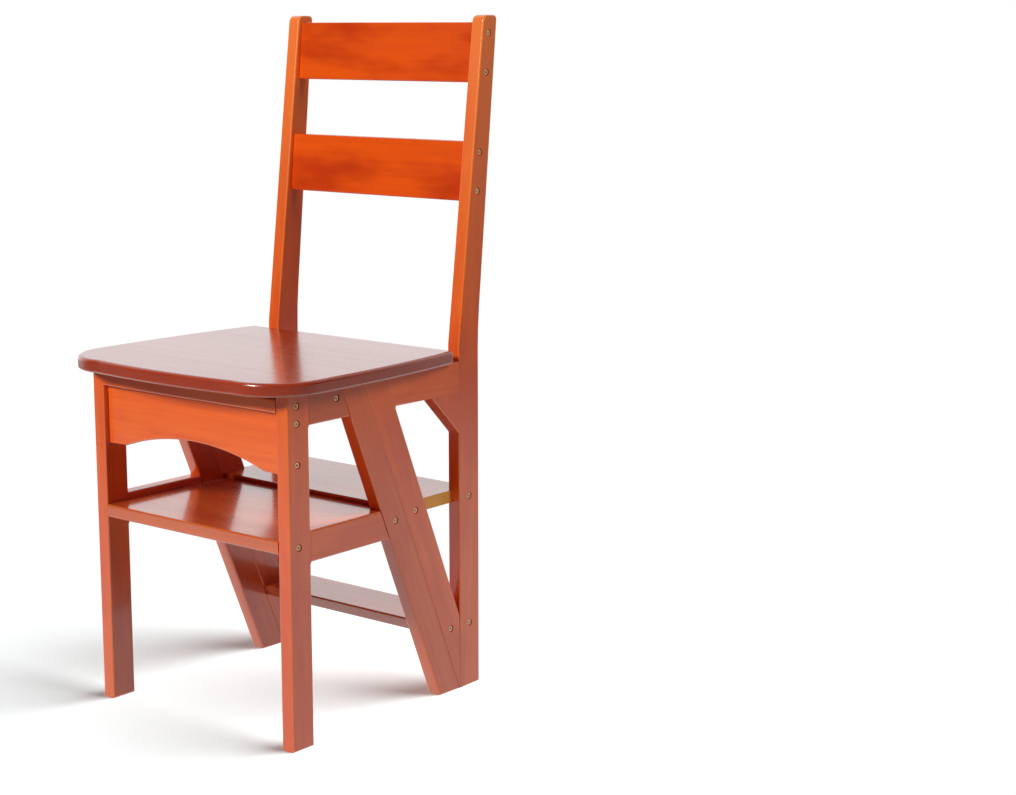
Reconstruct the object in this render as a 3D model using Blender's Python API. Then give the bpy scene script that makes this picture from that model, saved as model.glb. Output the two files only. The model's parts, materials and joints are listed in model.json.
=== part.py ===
"""Library step chair.

A wooden dining chair made of two halves. The front half stands on four feet and carries two steps.
The rear half, with the back of the chair, turns half a revolution about two brass hinges on top of
the side rails and lands upside down on the front half, which makes a ladder of four steps. The seat
board is hinged to the rear half and hangs down in front of the legs when the chair is a ladder.

Lengths are metres, +Z is up, the chair faces -Y and X runs across it. Places along Y are counted
from the front faces of the front legs until the whole chair is centred over its bounding box.
"""
import bpy
import bmesh
from math import atan2, cos, hypot, pi, radians, sin, sqrt, tan
from mathutils import Vector

MM = 0.001

# Clearances
FIT = 0.3 * MM
HALVES_GAP = 1.6 * MM
SEAT_SWING_GAP = 1.2 * MM
CUT_OVERRUN = 3.0 * MM

# Whole chair
OVERALL_HEIGHT = 902.0 * MM
FRAME_WIDTH = 355.0 * MM
PLANK_THICKNESS = 20.0 * MM
RAIL_HEIGHT = 42.0 * MM
MID_RAIL_HEIGHT = 40.0 * MM
HINGE_AXIS_Y = 135.5 * MM
SPLIT_FOOT_Y = 321.0 * MM
POST_FRONT_Y = 322.5 * MM

# Members of the side frames
LEG_DEPTH = 37.0 * MM
FRONT_STRINGER_WIDTH = 38.0 * MM
REAR_STRINGER_WIDTH = 40.0 * MM
MID_RAIL_TOP = 276.5 * MM
POST_DEPTH = 41.0 * MM
POST_FRONT_BEND_RISE = 21.0 * MM
POST_REAR_BEND_RISE = 39.0 * MM
POST_FRONT_LEAN = 0.126
POST_REAR_LEAN = 0.1
POST_BEND_LENGTH = 60.0 * MM
POST_FRONT_CORNER = 10.0 * MM
POST_REAR_CORNER = 6.0 * MM
GUSSET = 55.5 * MM

# Rounding of edges
ARRIS = 2.0 * MM
SPLIT_ARRIS = 0.8 * MM
SEAM_ARRIS = 0.25 * MM
ARRIS_RUN = 3.0 * MM

# Steps and shelves
BOARD_THICKNESS = 17.0 * MM
STEP_BOARD_DROP = 7.0 * MM
MID_SHELF_TOP = 267.0 * MM
UPPER_SHELF_TOP = 273.0 * MM
LOWER_SHELF_TOP = 96.0 * MM
SHELF_REAR_SETBACK = 2.0 * MM
HOUSING_DEPTH = 4.0 * MM
BOARD_ARRIS = 1.5 * MM

# Apron
APRON_RECESS = 8.0 * MM
APRON_THICKNESS = 17.0 * MM
APRON_HEIGHT = 77.0 * MM
APRON_FLAT = 31.0 * MM
APRON_ARCH_RISE = 21.0 * MM
APRON_ARCH_STEPS = 14

# Back slats
SLAT_HEIGHT = 78.5 * MM
SLAT_THICKNESS = 14.0 * MM
SLAT_RECESS = 6.0 * MM
SLAT_GAP = 76.5 * MM
SLAT_TOP_DROP = 9.5 * MM
SLAT_ARRIS = 1.5 * MM

# Seat
SEAT_THICKNESS = 17.5 * MM
SEAT_DEPTH = 349.5 * MM
SEAT_FRONT_OVERHANG = 25.0 * MM
SEAT_REAR_OVERHANG = 8.5 * MM
SEAT_WAIST_RUN = 230.0 * MM
SEAT_FRONT_BOW = 8.5 * MM
SEAT_FRONT_CORNER = 70.0 * MM
SEAT_REAR_CORNER = 7.0 * MM
SEAT_TOP_ARRIS = 3.5 * MM
SEAT_LOW_ARRIS = 5.5 * MM

# Screws
SCREW_HEAD_RADIUS = 3.7 * MM
SCREW_HEAD_HEIGHT = 3.0 * MM
SCREW_SHANK_RADIUS = 2.2 * MM
SCREW_LENGTH = 42.0 * MM
SCREW_SOCKET_RADIUS = 1.7 * MM
SCREW_SOCKET_DEPTH = 1.4 * MM
SCREW_RECESS = 1.0 * MM
COUNTERBORE_RADIUS = 4.6 * MM
SCREW_SIDES = 10
RAIL_SCREW_RUN = 50.0 * MM
APRON_SCREW_SPACING = 51.0 * MM
SLAT_SCREW_SPACING = 51.0 * MM

# Dark screw holes in the edge of the rear stringer
EDGE_HOLE_RADIUS = 3.5 * MM
EDGE_HOLE_DEPTH = 9.0 * MM
EDGE_HOLE_DROP = 45.2 * MM
EDGE_HOLE_RISE = 58.5 * MM

# Main hinges
MAIN_LEAF_LENGTH = 48.0 * MM
MAIN_LEAF_THICKNESS = 2.0 * MM
MAIN_LEAF_WIDTH = 19.0 * MM
MAIN_BARREL_RADIUS = 2.9 * MM
MAIN_PIN_RADIUS = 1.2 * MM

# Seat hinges
SEAT_LEAF_LENGTH = 29.0 * MM
SEAT_LEAF_THICKNESS = 1.5 * MM
SEAT_LEAF_WIDTH = 12.0 * MM
SEAT_BARREL_RADIUS = 2.3 * MM
SEAT_PIN_RADIUS = 1.0 * MM

BARREL_STEPS = 14
KNUCKLE_SHARE = 1 / 3
ROUND_STEPS = 2
CORNER_STEPS = 4
SEAT_CORNER_STEPS = 8
SEAT_BOW_STEPS = 10
SEAT_SIDE_STEPS = 5
SHARP_ANGLE = radians(35)

# Sizes that follow from the ones above
HALF_WIDTH = FRAME_WIDTH / 2
INNER_X = HALF_WIDTH - PLANK_THICKNESS
SEAT_FRONT_HALF_WIDTH = HALF_WIDTH + SEAT_FRONT_OVERHANG
SEAT_REAR_HALF_WIDTH = HALF_WIDTH + SEAT_REAR_OVERHANG
PLANK_X = HALF_WIDTH - PLANK_THICKNESS / 2
AXIS_Z = OVERALL_HEIGHT / 2
RAIL_TOP = AXIS_Z - HALVES_GAP / 2
RAIL_BOTTOM = RAIL_TOP - RAIL_HEIGHT
MID_RAIL_BOTTOM = MID_RAIL_TOP - MID_RAIL_HEIGHT
SPLIT_SLOPE = (SPLIT_FOOT_Y - HINGE_AXIS_Y) / RAIL_TOP
SPLIT_STRETCH = hypot(1, SPLIT_SLOPE)
FRONT_STRINGER_RUN = FRONT_STRINGER_WIDTH * SPLIT_STRETCH
REAR_STRINGER_RUN = REAR_STRINGER_WIDTH * SPLIT_STRETCH
SPLIT_HALF_GAP = FIT / 2 * SPLIT_STRETCH
POST_REAR_Y = POST_FRONT_Y + POST_DEPTH
POST_FRONT_BEND_Z = AXIS_Z + POST_FRONT_BEND_RISE
POST_REAR_BEND_Z = AXIS_Z + POST_REAR_BEND_RISE
POST_TOP_CORNER_Y = POST_REAR_Y + (OVERALL_HEIGHT - POST_REAR_BEND_Z) * POST_REAR_LEAN
POST_TOP_REAR_Y = POST_TOP_CORNER_Y - POST_REAR_CORNER * (POST_REAR_LEAN + hypot(1, POST_REAR_LEAN) - 1)
STEP_BOARD_TOP = RAIL_TOP - STEP_BOARD_DROP
STEP_BOARD_BOTTOM = STEP_BOARD_TOP - BOARD_THICKNESS
SEAT_BOTTOM = RAIL_TOP + FIT
SEAT_PIVOT_Z = RAIL_TOP + FIT / 2
SEAT_PIVOT_Y = POST_FRONT_Y - SEAT_SWING_GAP - SEAT_THICKNESS - FIT / 2
SEAT_REAR_Y = SEAT_PIVOT_Y - FIT
SEAT_FRONT_Y = SEAT_REAR_Y - SEAT_DEPTH
CENTRE_Y = (SEAT_FRONT_Y + POST_TOP_REAR_Y) / 2
SIDES = (("R", 1), ("L", -1))


def split_y(z):
    """Place of the sloping split between the two halves at height z."""
    return HINGE_AXIS_Y + (RAIL_TOP - z) * SPLIT_SLOPE


def post_front_y(z):
    """Front edge of the rear post: upright up to the seat and leaning back above it."""
    return POST_FRONT_Y + max(z - POST_FRONT_BEND_Z, 0) * POST_FRONT_LEAN


def post_rear_y(z):
    """Rear edge of the rear post before its bend is eased."""
    return POST_REAR_Y + max(z - POST_REAR_BEND_Z, 0) * POST_REAR_LEAN


def material(name, colour, roughness, metallic=0.0, coat=0.0):
    """Plain Principled material."""
    made = bpy.data.materials.new(name)
    made.use_nodes = True
    shader = made.node_tree.nodes["Principled BSDF"]
    shader.inputs["Base Color"].default_value = (*colour, 1.0)
    shader.inputs["Roughness"].default_value = roughness
    shader.inputs["Metallic"].default_value = metallic
    shader.inputs["Coat Weight"].default_value = coat
    made.diffuse_color = (*colour, 1.0)
    return made


def seamed(start, end, seams, arris=ARRIS):
    """Points along one straight edge, rounded except where another member lies against it."""
    span = Vector(end) - Vector(start)
    length = span.length
    run = span / length
    points = [(*start, arris)]
    for low, high in seams:
        if low - ARRIS_RUN > 0:
            points.append((*(Vector(start) + run * (low - ARRIS_RUN)), arris))
        points.append((*(Vector(start) + run * low), SEAM_ARRIS))
        if high < length:
            points.append((*(Vector(start) + run * high), SEAM_ARRIS))
            points.append((*(Vector(start) + run * (high + ARRIS_RUN)), arris))
    return points


def rounded_corner(before, corner, after, radius, arris, steps):
    """Arc of points that rounds one corner of an outline."""
    here = Vector(corner)
    to_before = (Vector(before) - here).normalized()
    to_after = (Vector(after) - here).normalized()
    half_angle = to_before.angle(to_after) / 2
    reach = radius / tan(half_angle)
    centre = here + (to_before + to_after).normalized() * (radius / sin(half_angle))
    first = here + to_before * reach - centre
    last = here + to_after * reach - centre
    start_angle = atan2(first.y, first.x)
    sweep = atan2(last.y, last.x) - start_angle
    sweep = (sweep + pi) % (2 * pi) - pi
    points = []
    for step in range(steps + 1):
        angle = start_angle + sweep * step / steps
        points.append((centre.x + radius * cos(angle), centre.y + radius * sin(angle), arris))
    return points


def inset_point(outline, index, distance):
    """Corner of the outline moved inward so that both its edges move by the distance."""
    count = len(outline)
    here = Vector(outline[index][:2])
    along_before = (here - Vector(outline[index - 1][:2])).normalized()
    along_after = (Vector(outline[(index + 1) % count][:2]) - here).normalized()
    inward_before = Vector((-along_before.y, along_before.x))
    inward_after = Vector((-along_after.y, along_after.x))
    miter = (inward_before + inward_after) / (1 + inward_before.dot(inward_after))
    return here + miter * distance


def shaped_mesh(name, outline, thickness, axes, low_share=1.0, steps=ROUND_STEPS):
    """Board cut to an outline, its edges rounded by each outline point's own radius.

    The outline runs anticlockwise in the plane of the first two axes, and the board's thickness is
    centred on that plane along the third. The radius at the lower face is multiplied by low_share.
    """
    area = sum(a[0] * b[1] - b[0] * a[1] for a, b in zip(outline, outline[1:] + outline[:1]))
    if area < 0:
        outline = outline[::-1]
    levels = [(-1, step / steps) for step in range(steps, -1, -1)]
    levels += [(1, step / steps) for step in range(steps + 1)]
    shape = bmesh.new()
    rings = []
    for face, share in levels:
        ring = []
        for index, point in enumerate(outline):
            radius = point[2] * (low_share if face < 0 else 1.0)
            flat = inset_point(outline, index, radius * (1 - cos(share * pi / 2)))
            depth = face * (thickness / 2 - radius * (1 - sin(share * pi / 2)))
            place = [0.0, 0.0, 0.0]
            place[axes[0]] = flat.x
            place[axes[1]] = flat.y
            place[axes[2]] = depth
            ring.append(shape.verts.new(place))
        rings.append(ring)
    count = len(outline)
    for lower, upper in zip(rings, rings[1:]):
        for index in range(count):
            following = (index + 1) % count
            shape.faces.new((lower[index], lower[following], upper[following], upper[index]))
    shape.faces.new(rings[0][::-1])
    shape.faces.new(rings[-1])
    return finished_mesh(name, shape)


def finished_mesh(name, shape):
    """Mesh from bmesh, faces outward, shaded smooth with its real corners kept sharp."""
    shape.normal_update()
    bmesh.ops.recalc_face_normals(shape, faces=shape.faces)
    mesh = bpy.data.meshes.new(name)
    shape.to_mesh(mesh)
    shape.free()
    mesh.shade_smooth()
    mesh.set_sharp_from_angle(angle=SHARP_ANGLE)
    return mesh


def turned_mesh(name, profile, sides, axis):
    """Solid turned from (radius, distance along the axis) points that start and end on the axis."""
    shape = bmesh.new()
    rings = []
    for radius, along in profile:
        ring = []
        for side in range(sides if radius > 0 else 1):
            angle = 2 * pi * side / sides
            place = [radius * cos(angle), radius * sin(angle)]
            place.insert(axis, along)
            ring.append(shape.verts.new(place))
        rings.append(ring)
    for first, second in zip(rings, rings[1:]):
        for side in range(sides):
            corners = (first[side % len(first)], first[(side + 1) % len(first)],
                       second[(side + 1) % len(second)], second[side % len(second)])
            shape.faces.new(dict.fromkeys(corners))
    return finished_mesh(name, shape)


def boxes_mesh(name, boxes):
    """Separate boxes in one mesh, each given by two opposite corners."""
    shape = bmesh.new()
    for low, high in boxes:
        made = bmesh.ops.create_cube(shape, size=1)
        for vert in made["verts"]:
            for axis in range(3):
                vert.co[axis] = high[axis] if vert.co[axis] > 0 else low[axis]
    return finished_mesh(name, shape)


def group(name, place, parent=None):
    """Empty that carries one half of the chair, the seat, or the whole."""
    empty = bpy.data.objects.new(name, None)
    bpy.context.scene.collection.objects.link(empty)
    empty.parent = parent
    empty.location = Vector(place) - world_place(parent)
    return empty


def world_place(thing):
    """Place of an object whose parents are all unturned."""
    place = Vector()
    while thing is not None:
        place += thing.location
        thing = thing.parent
    return place


def add(name, mesh, place, parent, look):
    """Object for one piece, placed in the chair's own coordinates."""
    piece = bpy.data.objects.new(name, mesh)
    bpy.context.scene.collection.objects.link(piece)
    piece.parent = parent
    piece.location = Vector(place) - Vector((0, CENTRE_Y, 0)) - world_place(parent)
    if look is not None and not mesh.materials:
        mesh.materials.append(look)
    return piece


def cutter(name, mesh, place, parent):
    """Hidden shape that the pieces are cut with."""
    tool = add(name, mesh, place, parent, None)
    tool.hide_render = True
    tool.display_type = "WIRE"
    return tool


def cut(piece, tool, operation="DIFFERENCE"):
    """Exact Boolean of a piece with a hidden shape."""
    change = piece.modifiers.new(tool.name, "BOOLEAN")
    change.operation = operation
    change.solver = "EXACT"
    change.object = tool


def side_plank(name, outline, parent, look):
    """The same plank in the right and the left side frame, seen as an outline of (y, z) points."""
    mesh = shaped_mesh(name, outline, PLANK_THICKNESS, (1, 2, 0))
    return {side: add(f"{name}_{side}", mesh, (sign * PLANK_X, 0, 0), parent, look)
            for side, sign in SIDES}


def leg_outline():
    """Upright front leg, plain where the two rails meet its rear edge."""
    rear = seamed((LEG_DEPTH, 0), (LEG_DEPTH, RAIL_TOP),
                  [(MID_RAIL_BOTTOM, MID_RAIL_TOP), (RAIL_BOTTOM, RAIL_TOP + SEAM_ARRIS)])
    return rear + [(LEG_DEPTH, RAIL_TOP, SEAM_ARRIS), (0, RAIL_TOP, ARRIS), (0, 0, ARRIS)]


def front_stringer_outline():
    """Sloping plank from the hinge to the floor, along the front of the split."""
    def front_y(z):
        return split_y(z) - FRONT_STRINGER_RUN

    front_foot = (front_y(0), 0)
    front_head = (front_y(RAIL_TOP), RAIL_TOP)
    seams = [(MID_RAIL_BOTTOM * SPLIT_STRETCH, MID_RAIL_TOP * SPLIT_STRETCH),
             (RAIL_BOTTOM * SPLIT_STRETCH, RAIL_TOP * SPLIT_STRETCH + SEAM_ARRIS)]
    front = seamed(front_foot, front_head, seams)
    rear = [(split_y(0) - SPLIT_HALF_GAP, 0, SPLIT_ARRIS),
            (split_y(RAIL_TOP) - SPLIT_HALF_GAP, RAIL_TOP, SPLIT_ARRIS)]
    return front + [(*front_head, SEAM_ARRIS)] + rear[::-1]


def front_rail_outline(top, bottom):
    """Level rail between the front leg and the front stringer."""
    front = LEG_DEPTH + FIT

    def rear(z):
        return split_y(z) - FRONT_STRINGER_RUN - FIT * SPLIT_STRETCH

    return [(front, bottom, ARRIS), (rear(bottom), bottom, ARRIS),
            (rear(top), top, SEAM_ARRIS), (front, top, SEAM_ARRIS)]


def rear_stringer_outline():
    """Sloping plank along the rear of the split, its foot cut upright against the post."""
    rear_x = POST_FRONT_Y - FIT
    foot_z = RAIL_TOP - (rear_x - REAR_STRINGER_RUN - HINGE_AXIS_Y) / SPLIT_SLOPE
    head = (split_y(RAIL_TOP) + REAR_STRINGER_RUN, RAIL_TOP)
    length = hypot(rear_x - head[0], RAIL_TOP - foot_z)
    rail_seam = length - RAIL_HEIGHT * SPLIT_STRETCH
    rear = seamed((rear_x, foot_z), head, [(rail_seam, length + SEAM_ARRIS)])
    return ([(split_y(0) + SPLIT_HALF_GAP, 0, SEAM_ARRIS), (rear_x, 0, SEAM_ARRIS)]
            + rear + [(*head, SEAM_ARRIS)]
            + [(split_y(RAIL_TOP) + SPLIT_HALF_GAP, RAIL_TOP, SPLIT_ARRIS),
               (split_y(ARRIS_RUN) + SPLIT_HALF_GAP, ARRIS_RUN, SPLIT_ARRIS)])


def rear_rail_outline():
    """Level rail between the rear stringer and the post."""
    def front(z):
        return split_y(z) + REAR_STRINGER_RUN + FIT * SPLIT_STRETCH

    rear = POST_FRONT_Y - FIT
    return [(front(RAIL_BOTTOM), RAIL_BOTTOM, ARRIS), (POST_FRONT_Y - GUSSET, RAIL_BOTTOM, SEAM_ARRIS),
            (rear, RAIL_BOTTOM, SEAM_ARRIS), (rear, RAIL_TOP, SEAM_ARRIS),
            (front(RAIL_TOP), RAIL_TOP, SEAM_ARRIS)]


def post_outline():
    """Rear post with its gusset: upright to the seat, then raked back and tapered."""
    gusset_top = RAIL_BOTTOM - FIT
    gusset_front = (POST_FRONT_Y - GUSSET, gusset_top)
    gusset_foot = (POST_FRONT_Y, gusset_top - GUSSET)
    foot_front = (POST_FRONT_Y, 0)
    foot_rear = (POST_REAR_Y, 0)
    top_front = (post_front_y(OVERALL_HEIGHT), OVERALL_HEIGHT)
    top_rear = (post_rear_y(OVERALL_HEIGHT), OVERALL_HEIGHT)
    bend_start = POST_REAR_BEND_Z - POST_BEND_LENGTH / 2
    bend_end = POST_REAR_BEND_Z + POST_BEND_LENGTH / 2
    bend_middle = (post_rear_y(bend_start) + post_rear_y(bend_end)) / 2
    ease = (bend_middle - POST_REAR_Y) / 2
    stringer_foot = RAIL_TOP - (POST_FRONT_Y - REAR_STRINGER_RUN - HINGE_AXIS_Y) / SPLIT_SLOPE
    rear_edge = [(*foot_rear, ARRIS), (post_rear_y(bend_start), bend_start, ARRIS),
                 (POST_REAR_Y + ease, POST_REAR_BEND_Z, ARRIS),
                 (post_rear_y(bend_end), bend_end, ARRIS)]
    top = (rounded_corner(rear_edge[-1][:2], top_rear, top_front, POST_REAR_CORNER, ARRIS, CORNER_STEPS)
           + rounded_corner(top_rear, top_front, (POST_FRONT_Y, POST_FRONT_BEND_Z), POST_FRONT_CORNER,
                            ARRIS, CORNER_STEPS))
    front_edge = [(POST_FRONT_Y, POST_FRONT_BEND_Z, ARRIS),
                  (POST_FRONT_Y, RAIL_TOP + ARRIS_RUN, ARRIS), (POST_FRONT_Y, RAIL_TOP, SEAM_ARRIS),
                  (POST_FRONT_Y, gusset_top, SEAM_ARRIS), (*gusset_front, SEAM_ARRIS),
                  (gusset_front[0] + ARRIS_RUN, gusset_top - ARRIS_RUN, ARRIS), (*gusset_foot, ARRIS),
                  (POST_FRONT_Y, stringer_foot + ARRIS_RUN, ARRIS),
                  (POST_FRONT_Y, stringer_foot, SEAM_ARRIS), (*foot_front, SEAM_ARRIS)]
    return rear_edge + top + front_edge


def board_outline(top, front, rear):
    """Section of a level board whose front and rear faces are given as functions of height."""
    bottom = top - BOARD_THICKNESS
    return [(front(bottom), bottom), (rear(bottom), bottom), (rear(top), top), (front(top), top)]


def cross_board(name, section, length, parent, look, arris):
    """Board that spans the chair: its (y, z) section drawn out along X."""
    outline = [(y, z, arris) for y, z in section]
    centre_y = sum(y for y, z in section) / len(section)
    centre_z = sum(z for y, z in section) / len(section)
    local = [(y - centre_y, z - centre_z, r) for y, z, r in outline]
    mesh = shaped_mesh(name, local, length, (1, 2, 0), steps=1)
    return add(name, mesh, (0, centre_y, centre_z), parent, look)


def slat_section(top):
    """Section of one back slat, leaning with the rear edges of the posts."""
    bottom = top - SLAT_HEIGHT

    def front(z):
        return post_front_y(top) + SLAT_RECESS - (top - z) * POST_REAR_LEAN

    return [(front(bottom), bottom), (front(bottom) + SLAT_THICKNESS, bottom),
            (front(top) + SLAT_THICKNESS, top), (front(top), top)]


def apron_outline():
    """Apron between the legs, with a shallow arch between two short flats on its lower edge."""
    half = INNER_X - FIT
    top = STEP_BOARD_BOTTOM - FIT
    bottom = top - APRON_HEIGHT
    arch_half = half - APRON_FLAT
    radius = (arch_half ** 2 + APRON_ARCH_RISE ** 2) / (2 * APRON_ARCH_RISE)
    centre_z = bottom + APRON_ARCH_RISE - radius
    outline = [(half, bottom, SEAM_ARRIS), (half, top, SEAM_ARRIS), (-half, top, SEAM_ARRIS),
               (-half, bottom, SEAM_ARRIS)]
    for step in range(APRON_ARCH_STEPS + 1):
        x = arch_half * (2 * step / APRON_ARCH_STEPS - 1)
        outline.append((x, centre_z + sqrt(radius ** 2 - x ** 2), BOARD_ARRIS))
    return outline


def seat_outline():
    """Seat seen from above: bowed front, large front corners and sides that draw in to the rear."""
    rear = SEAT_REAR_Y
    corner_y = SEAT_FRONT_Y + SEAT_FRONT_BOW
    bow_half = SEAT_FRONT_HALF_WIDTH - SEAT_FRONT_CORNER
    bow_radius = (bow_half ** 2 + SEAT_FRONT_BOW ** 2) / (2 * SEAT_FRONT_BOW)
    bow_centre = SEAT_FRONT_Y + bow_radius
    bow_end = (bow_half - SEAT_FRONT_CORNER, corner_y - SEAT_FRONT_BOW * SEAT_FRONT_CORNER / bow_half)
    draw_in = SEAT_FRONT_HALF_WIDTH - SEAT_REAR_HALF_WIDTH
    front = []
    for step in range(1, SEAT_BOW_STEPS):
        x = bow_half * (2 * step / SEAT_BOW_STEPS - 1)
        front.append((x, bow_centre - sqrt(bow_radius ** 2 - x ** 2), SEAT_TOP_ARRIS))
    side_start = rear - SEAT_WAIST_RUN
    corner = (SEAT_FRONT_HALF_WIDTH, corner_y)
    front_corner = rounded_corner(bow_end, corner, (SEAT_FRONT_HALF_WIDTH, side_start),
                                  SEAT_FRONT_CORNER, SEAT_TOP_ARRIS, SEAT_CORNER_STEPS)
    side = []
    for step in range(SEAT_SIDE_STEPS):
        share = step / SEAT_SIDE_STEPS
        side.append((SEAT_FRONT_HALF_WIDTH - draw_in * share ** 2, side_start + SEAT_WAIST_RUN * share,
                     SEAT_TOP_ARRIS))
    rear_corner = rounded_corner(side[-1][:2], (SEAT_REAR_HALF_WIDTH, rear), (0, rear), SEAT_REAR_CORNER,
                                 SEAT_TOP_ARRIS, CORNER_STEPS)
    right = front_corner + side + rear_corner
    left = [(-x, y, r) for x, y, r in right[::-1]]
    return front + right + left


def screw_mesh():
    """Furniture screw along X with its head's face at the origin, pointing to -X."""
    seat = -(SCREW_HEAD_HEIGHT + SCREW_HEAD_RADIUS - SCREW_SHANK_RADIUS)
    tip = -(SCREW_LENGTH - SCREW_SHANK_RADIUS)
    profile = [(0, -SCREW_SOCKET_DEPTH), (SCREW_SOCKET_RADIUS, -SCREW_SOCKET_DEPTH),
               (SCREW_SOCKET_RADIUS, 0), (SCREW_HEAD_RADIUS, 0),
               (SCREW_HEAD_RADIUS, -SCREW_HEAD_HEIGHT), (SCREW_SHANK_RADIUS, seat),
               (SCREW_SHANK_RADIUS, tip), (0, -SCREW_LENGTH)]
    return turned_mesh("screw", profile, SCREW_SIDES, 0)


def bore_profile():
    """Counterbore and pilot hole of one screw, starting outside the plank."""
    seat = -(SCREW_HEAD_HEIGHT + SCREW_HEAD_RADIUS - SCREW_SHANK_RADIUS) - FIT
    return [(0, SCREW_RECESS + CUT_OVERRUN), (COUNTERBORE_RADIUS, SCREW_RECESS + CUT_OVERRUN),
            (COUNTERBORE_RADIUS, -SCREW_HEAD_HEIGHT - FIT), (SCREW_SHANK_RADIUS + FIT, seat),
            (SCREW_SHANK_RADIUS + FIT, -SCREW_LENGTH - FIT), (0, -SCREW_LENGTH - FIT)]


def bores_mesh(name, places, sign):
    """All screw holes of one half of the chair on one side, as separate turned shapes."""
    unit = turned_mesh("bore", bore_profile(), SCREW_SIDES, 0)
    shape = bmesh.new()
    for y, z in places:
        first = len(shape.verts)
        shape.from_mesh(unit)
        shape.verts.ensure_lookup_table()
        for vert in shape.verts[first:]:
            vert.co = (sign * (HALF_WIDTH - SCREW_RECESS + vert.co.x), vert.co.y + y, vert.co.z + z)
    bpy.data.meshes.remove(unit)
    return finished_mesh(name, shape)


def front_screw_places():
    """Screws of the front half: leg to step board, apron and shelf, rail and stringer to boards."""
    leg_y = APRON_RECESS + APRON_THICKNESS / 2
    board_z = STEP_BOARD_TOP - BOARD_THICKNESS / 2
    shelf_z = MID_SHELF_TOP - BOARD_THICKNESS / 2
    apron_z = STEP_BOARD_BOTTOM - FIT - APRON_HEIGHT / 2
    return [(leg_y, board_z), (leg_y, apron_z + APRON_SCREW_SPACING / 2),
            (leg_y, apron_z - APRON_SCREW_SPACING / 2), (leg_y, shelf_z),
            (LEG_DEPTH + RAIL_SCREW_RUN, board_z), (split_y(shelf_z) - FRONT_STRINGER_RUN / 2, shelf_z)]


def slat_tops():
    """Heights of the upper edges of the two back slats."""
    top = OVERALL_HEIGHT - SLAT_TOP_DROP
    return {"top_slat": top, "lower_slat": top - SLAT_HEIGHT - SLAT_GAP}


def rear_screw_places():
    """Screws of the rear half: stringer and post to the shelves, post to the slats."""
    upper_z = UPPER_SHELF_TOP - BOARD_THICKNESS / 2
    lower_z = LOWER_SHELF_TOP - BOARD_THICKNESS / 2
    post_y = POST_FRONT_Y + POST_DEPTH / 2
    places = [(split_y(upper_z) + REAR_STRINGER_RUN / 2, upper_z), (post_y, upper_z),
              ((split_y(lower_z) + POST_FRONT_Y) / 2, lower_z), (post_y, lower_z)]
    for top in slat_tops().values():
        for step in (1, -1):
            drop = SLAT_HEIGHT / 2 - step * SLAT_SCREW_SPACING / 2
            y = post_front_y(top) + SLAT_RECESS + SLAT_THICKNESS / 2 - drop * POST_REAR_LEAN
            places.append((y, top - drop))
    return places


def add_screws(label, places, parent, mesh, look):
    """One screw in each hole of both side frames, heads outward."""
    for side, sign in SIDES:
        for number, (y, z) in enumerate(places, 1):
            screw = add(f"{label}_screw_{side}{number}", mesh,
                        (sign * (HALF_WIDTH - SCREW_RECESS), y, z), parent, look)
            if sign < 0:
                screw.rotation_euler.z = pi


def leaf_outline(length, thickness, barrel, direction):
    """Hinge leaf in section: a plate just below the axis that ends in the round barrel."""
    plate_top = -FIT / 2
    plate_bottom = plate_top - thickness
    start = atan2(plate_bottom, -sqrt(barrel ** 2 - plate_bottom ** 2))
    end = atan2(plate_top, -sqrt(barrel ** 2 - plate_top ** 2)) + 2 * pi
    points = [(-length, plate_top), (-length, plate_bottom)]
    for step in range(BARREL_STEPS + 1):
        angle = start + (end - start) * step / BARREL_STEPS
        points.append((barrel * cos(angle), barrel * sin(angle)))
    return [(direction * y, z, SEAM_ARRIS / 2) for y, z in points]


def knuckle_gap(width, barrel, outer):
    """Boxes that take away the knuckles that belong to the other leaf."""
    reach = barrel + FIT
    middle = width * KNUCKLE_SHARE / 2
    if outer:
        return [((-width, -reach, -reach), (-middle, reach, reach)),
                ((middle, -reach, -reach), (width, reach, reach))]
    return [((-middle - FIT, -reach, -reach), (middle + FIT, reach, reach))]


def rod(name, radius, length, sides):
    """Plain round rod along X."""
    return turned_mesh(name, [(0, -length / 2), (radius, -length / 2), (radius, length / 2),
                              (0, length / 2)], sides, 0)


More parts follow.
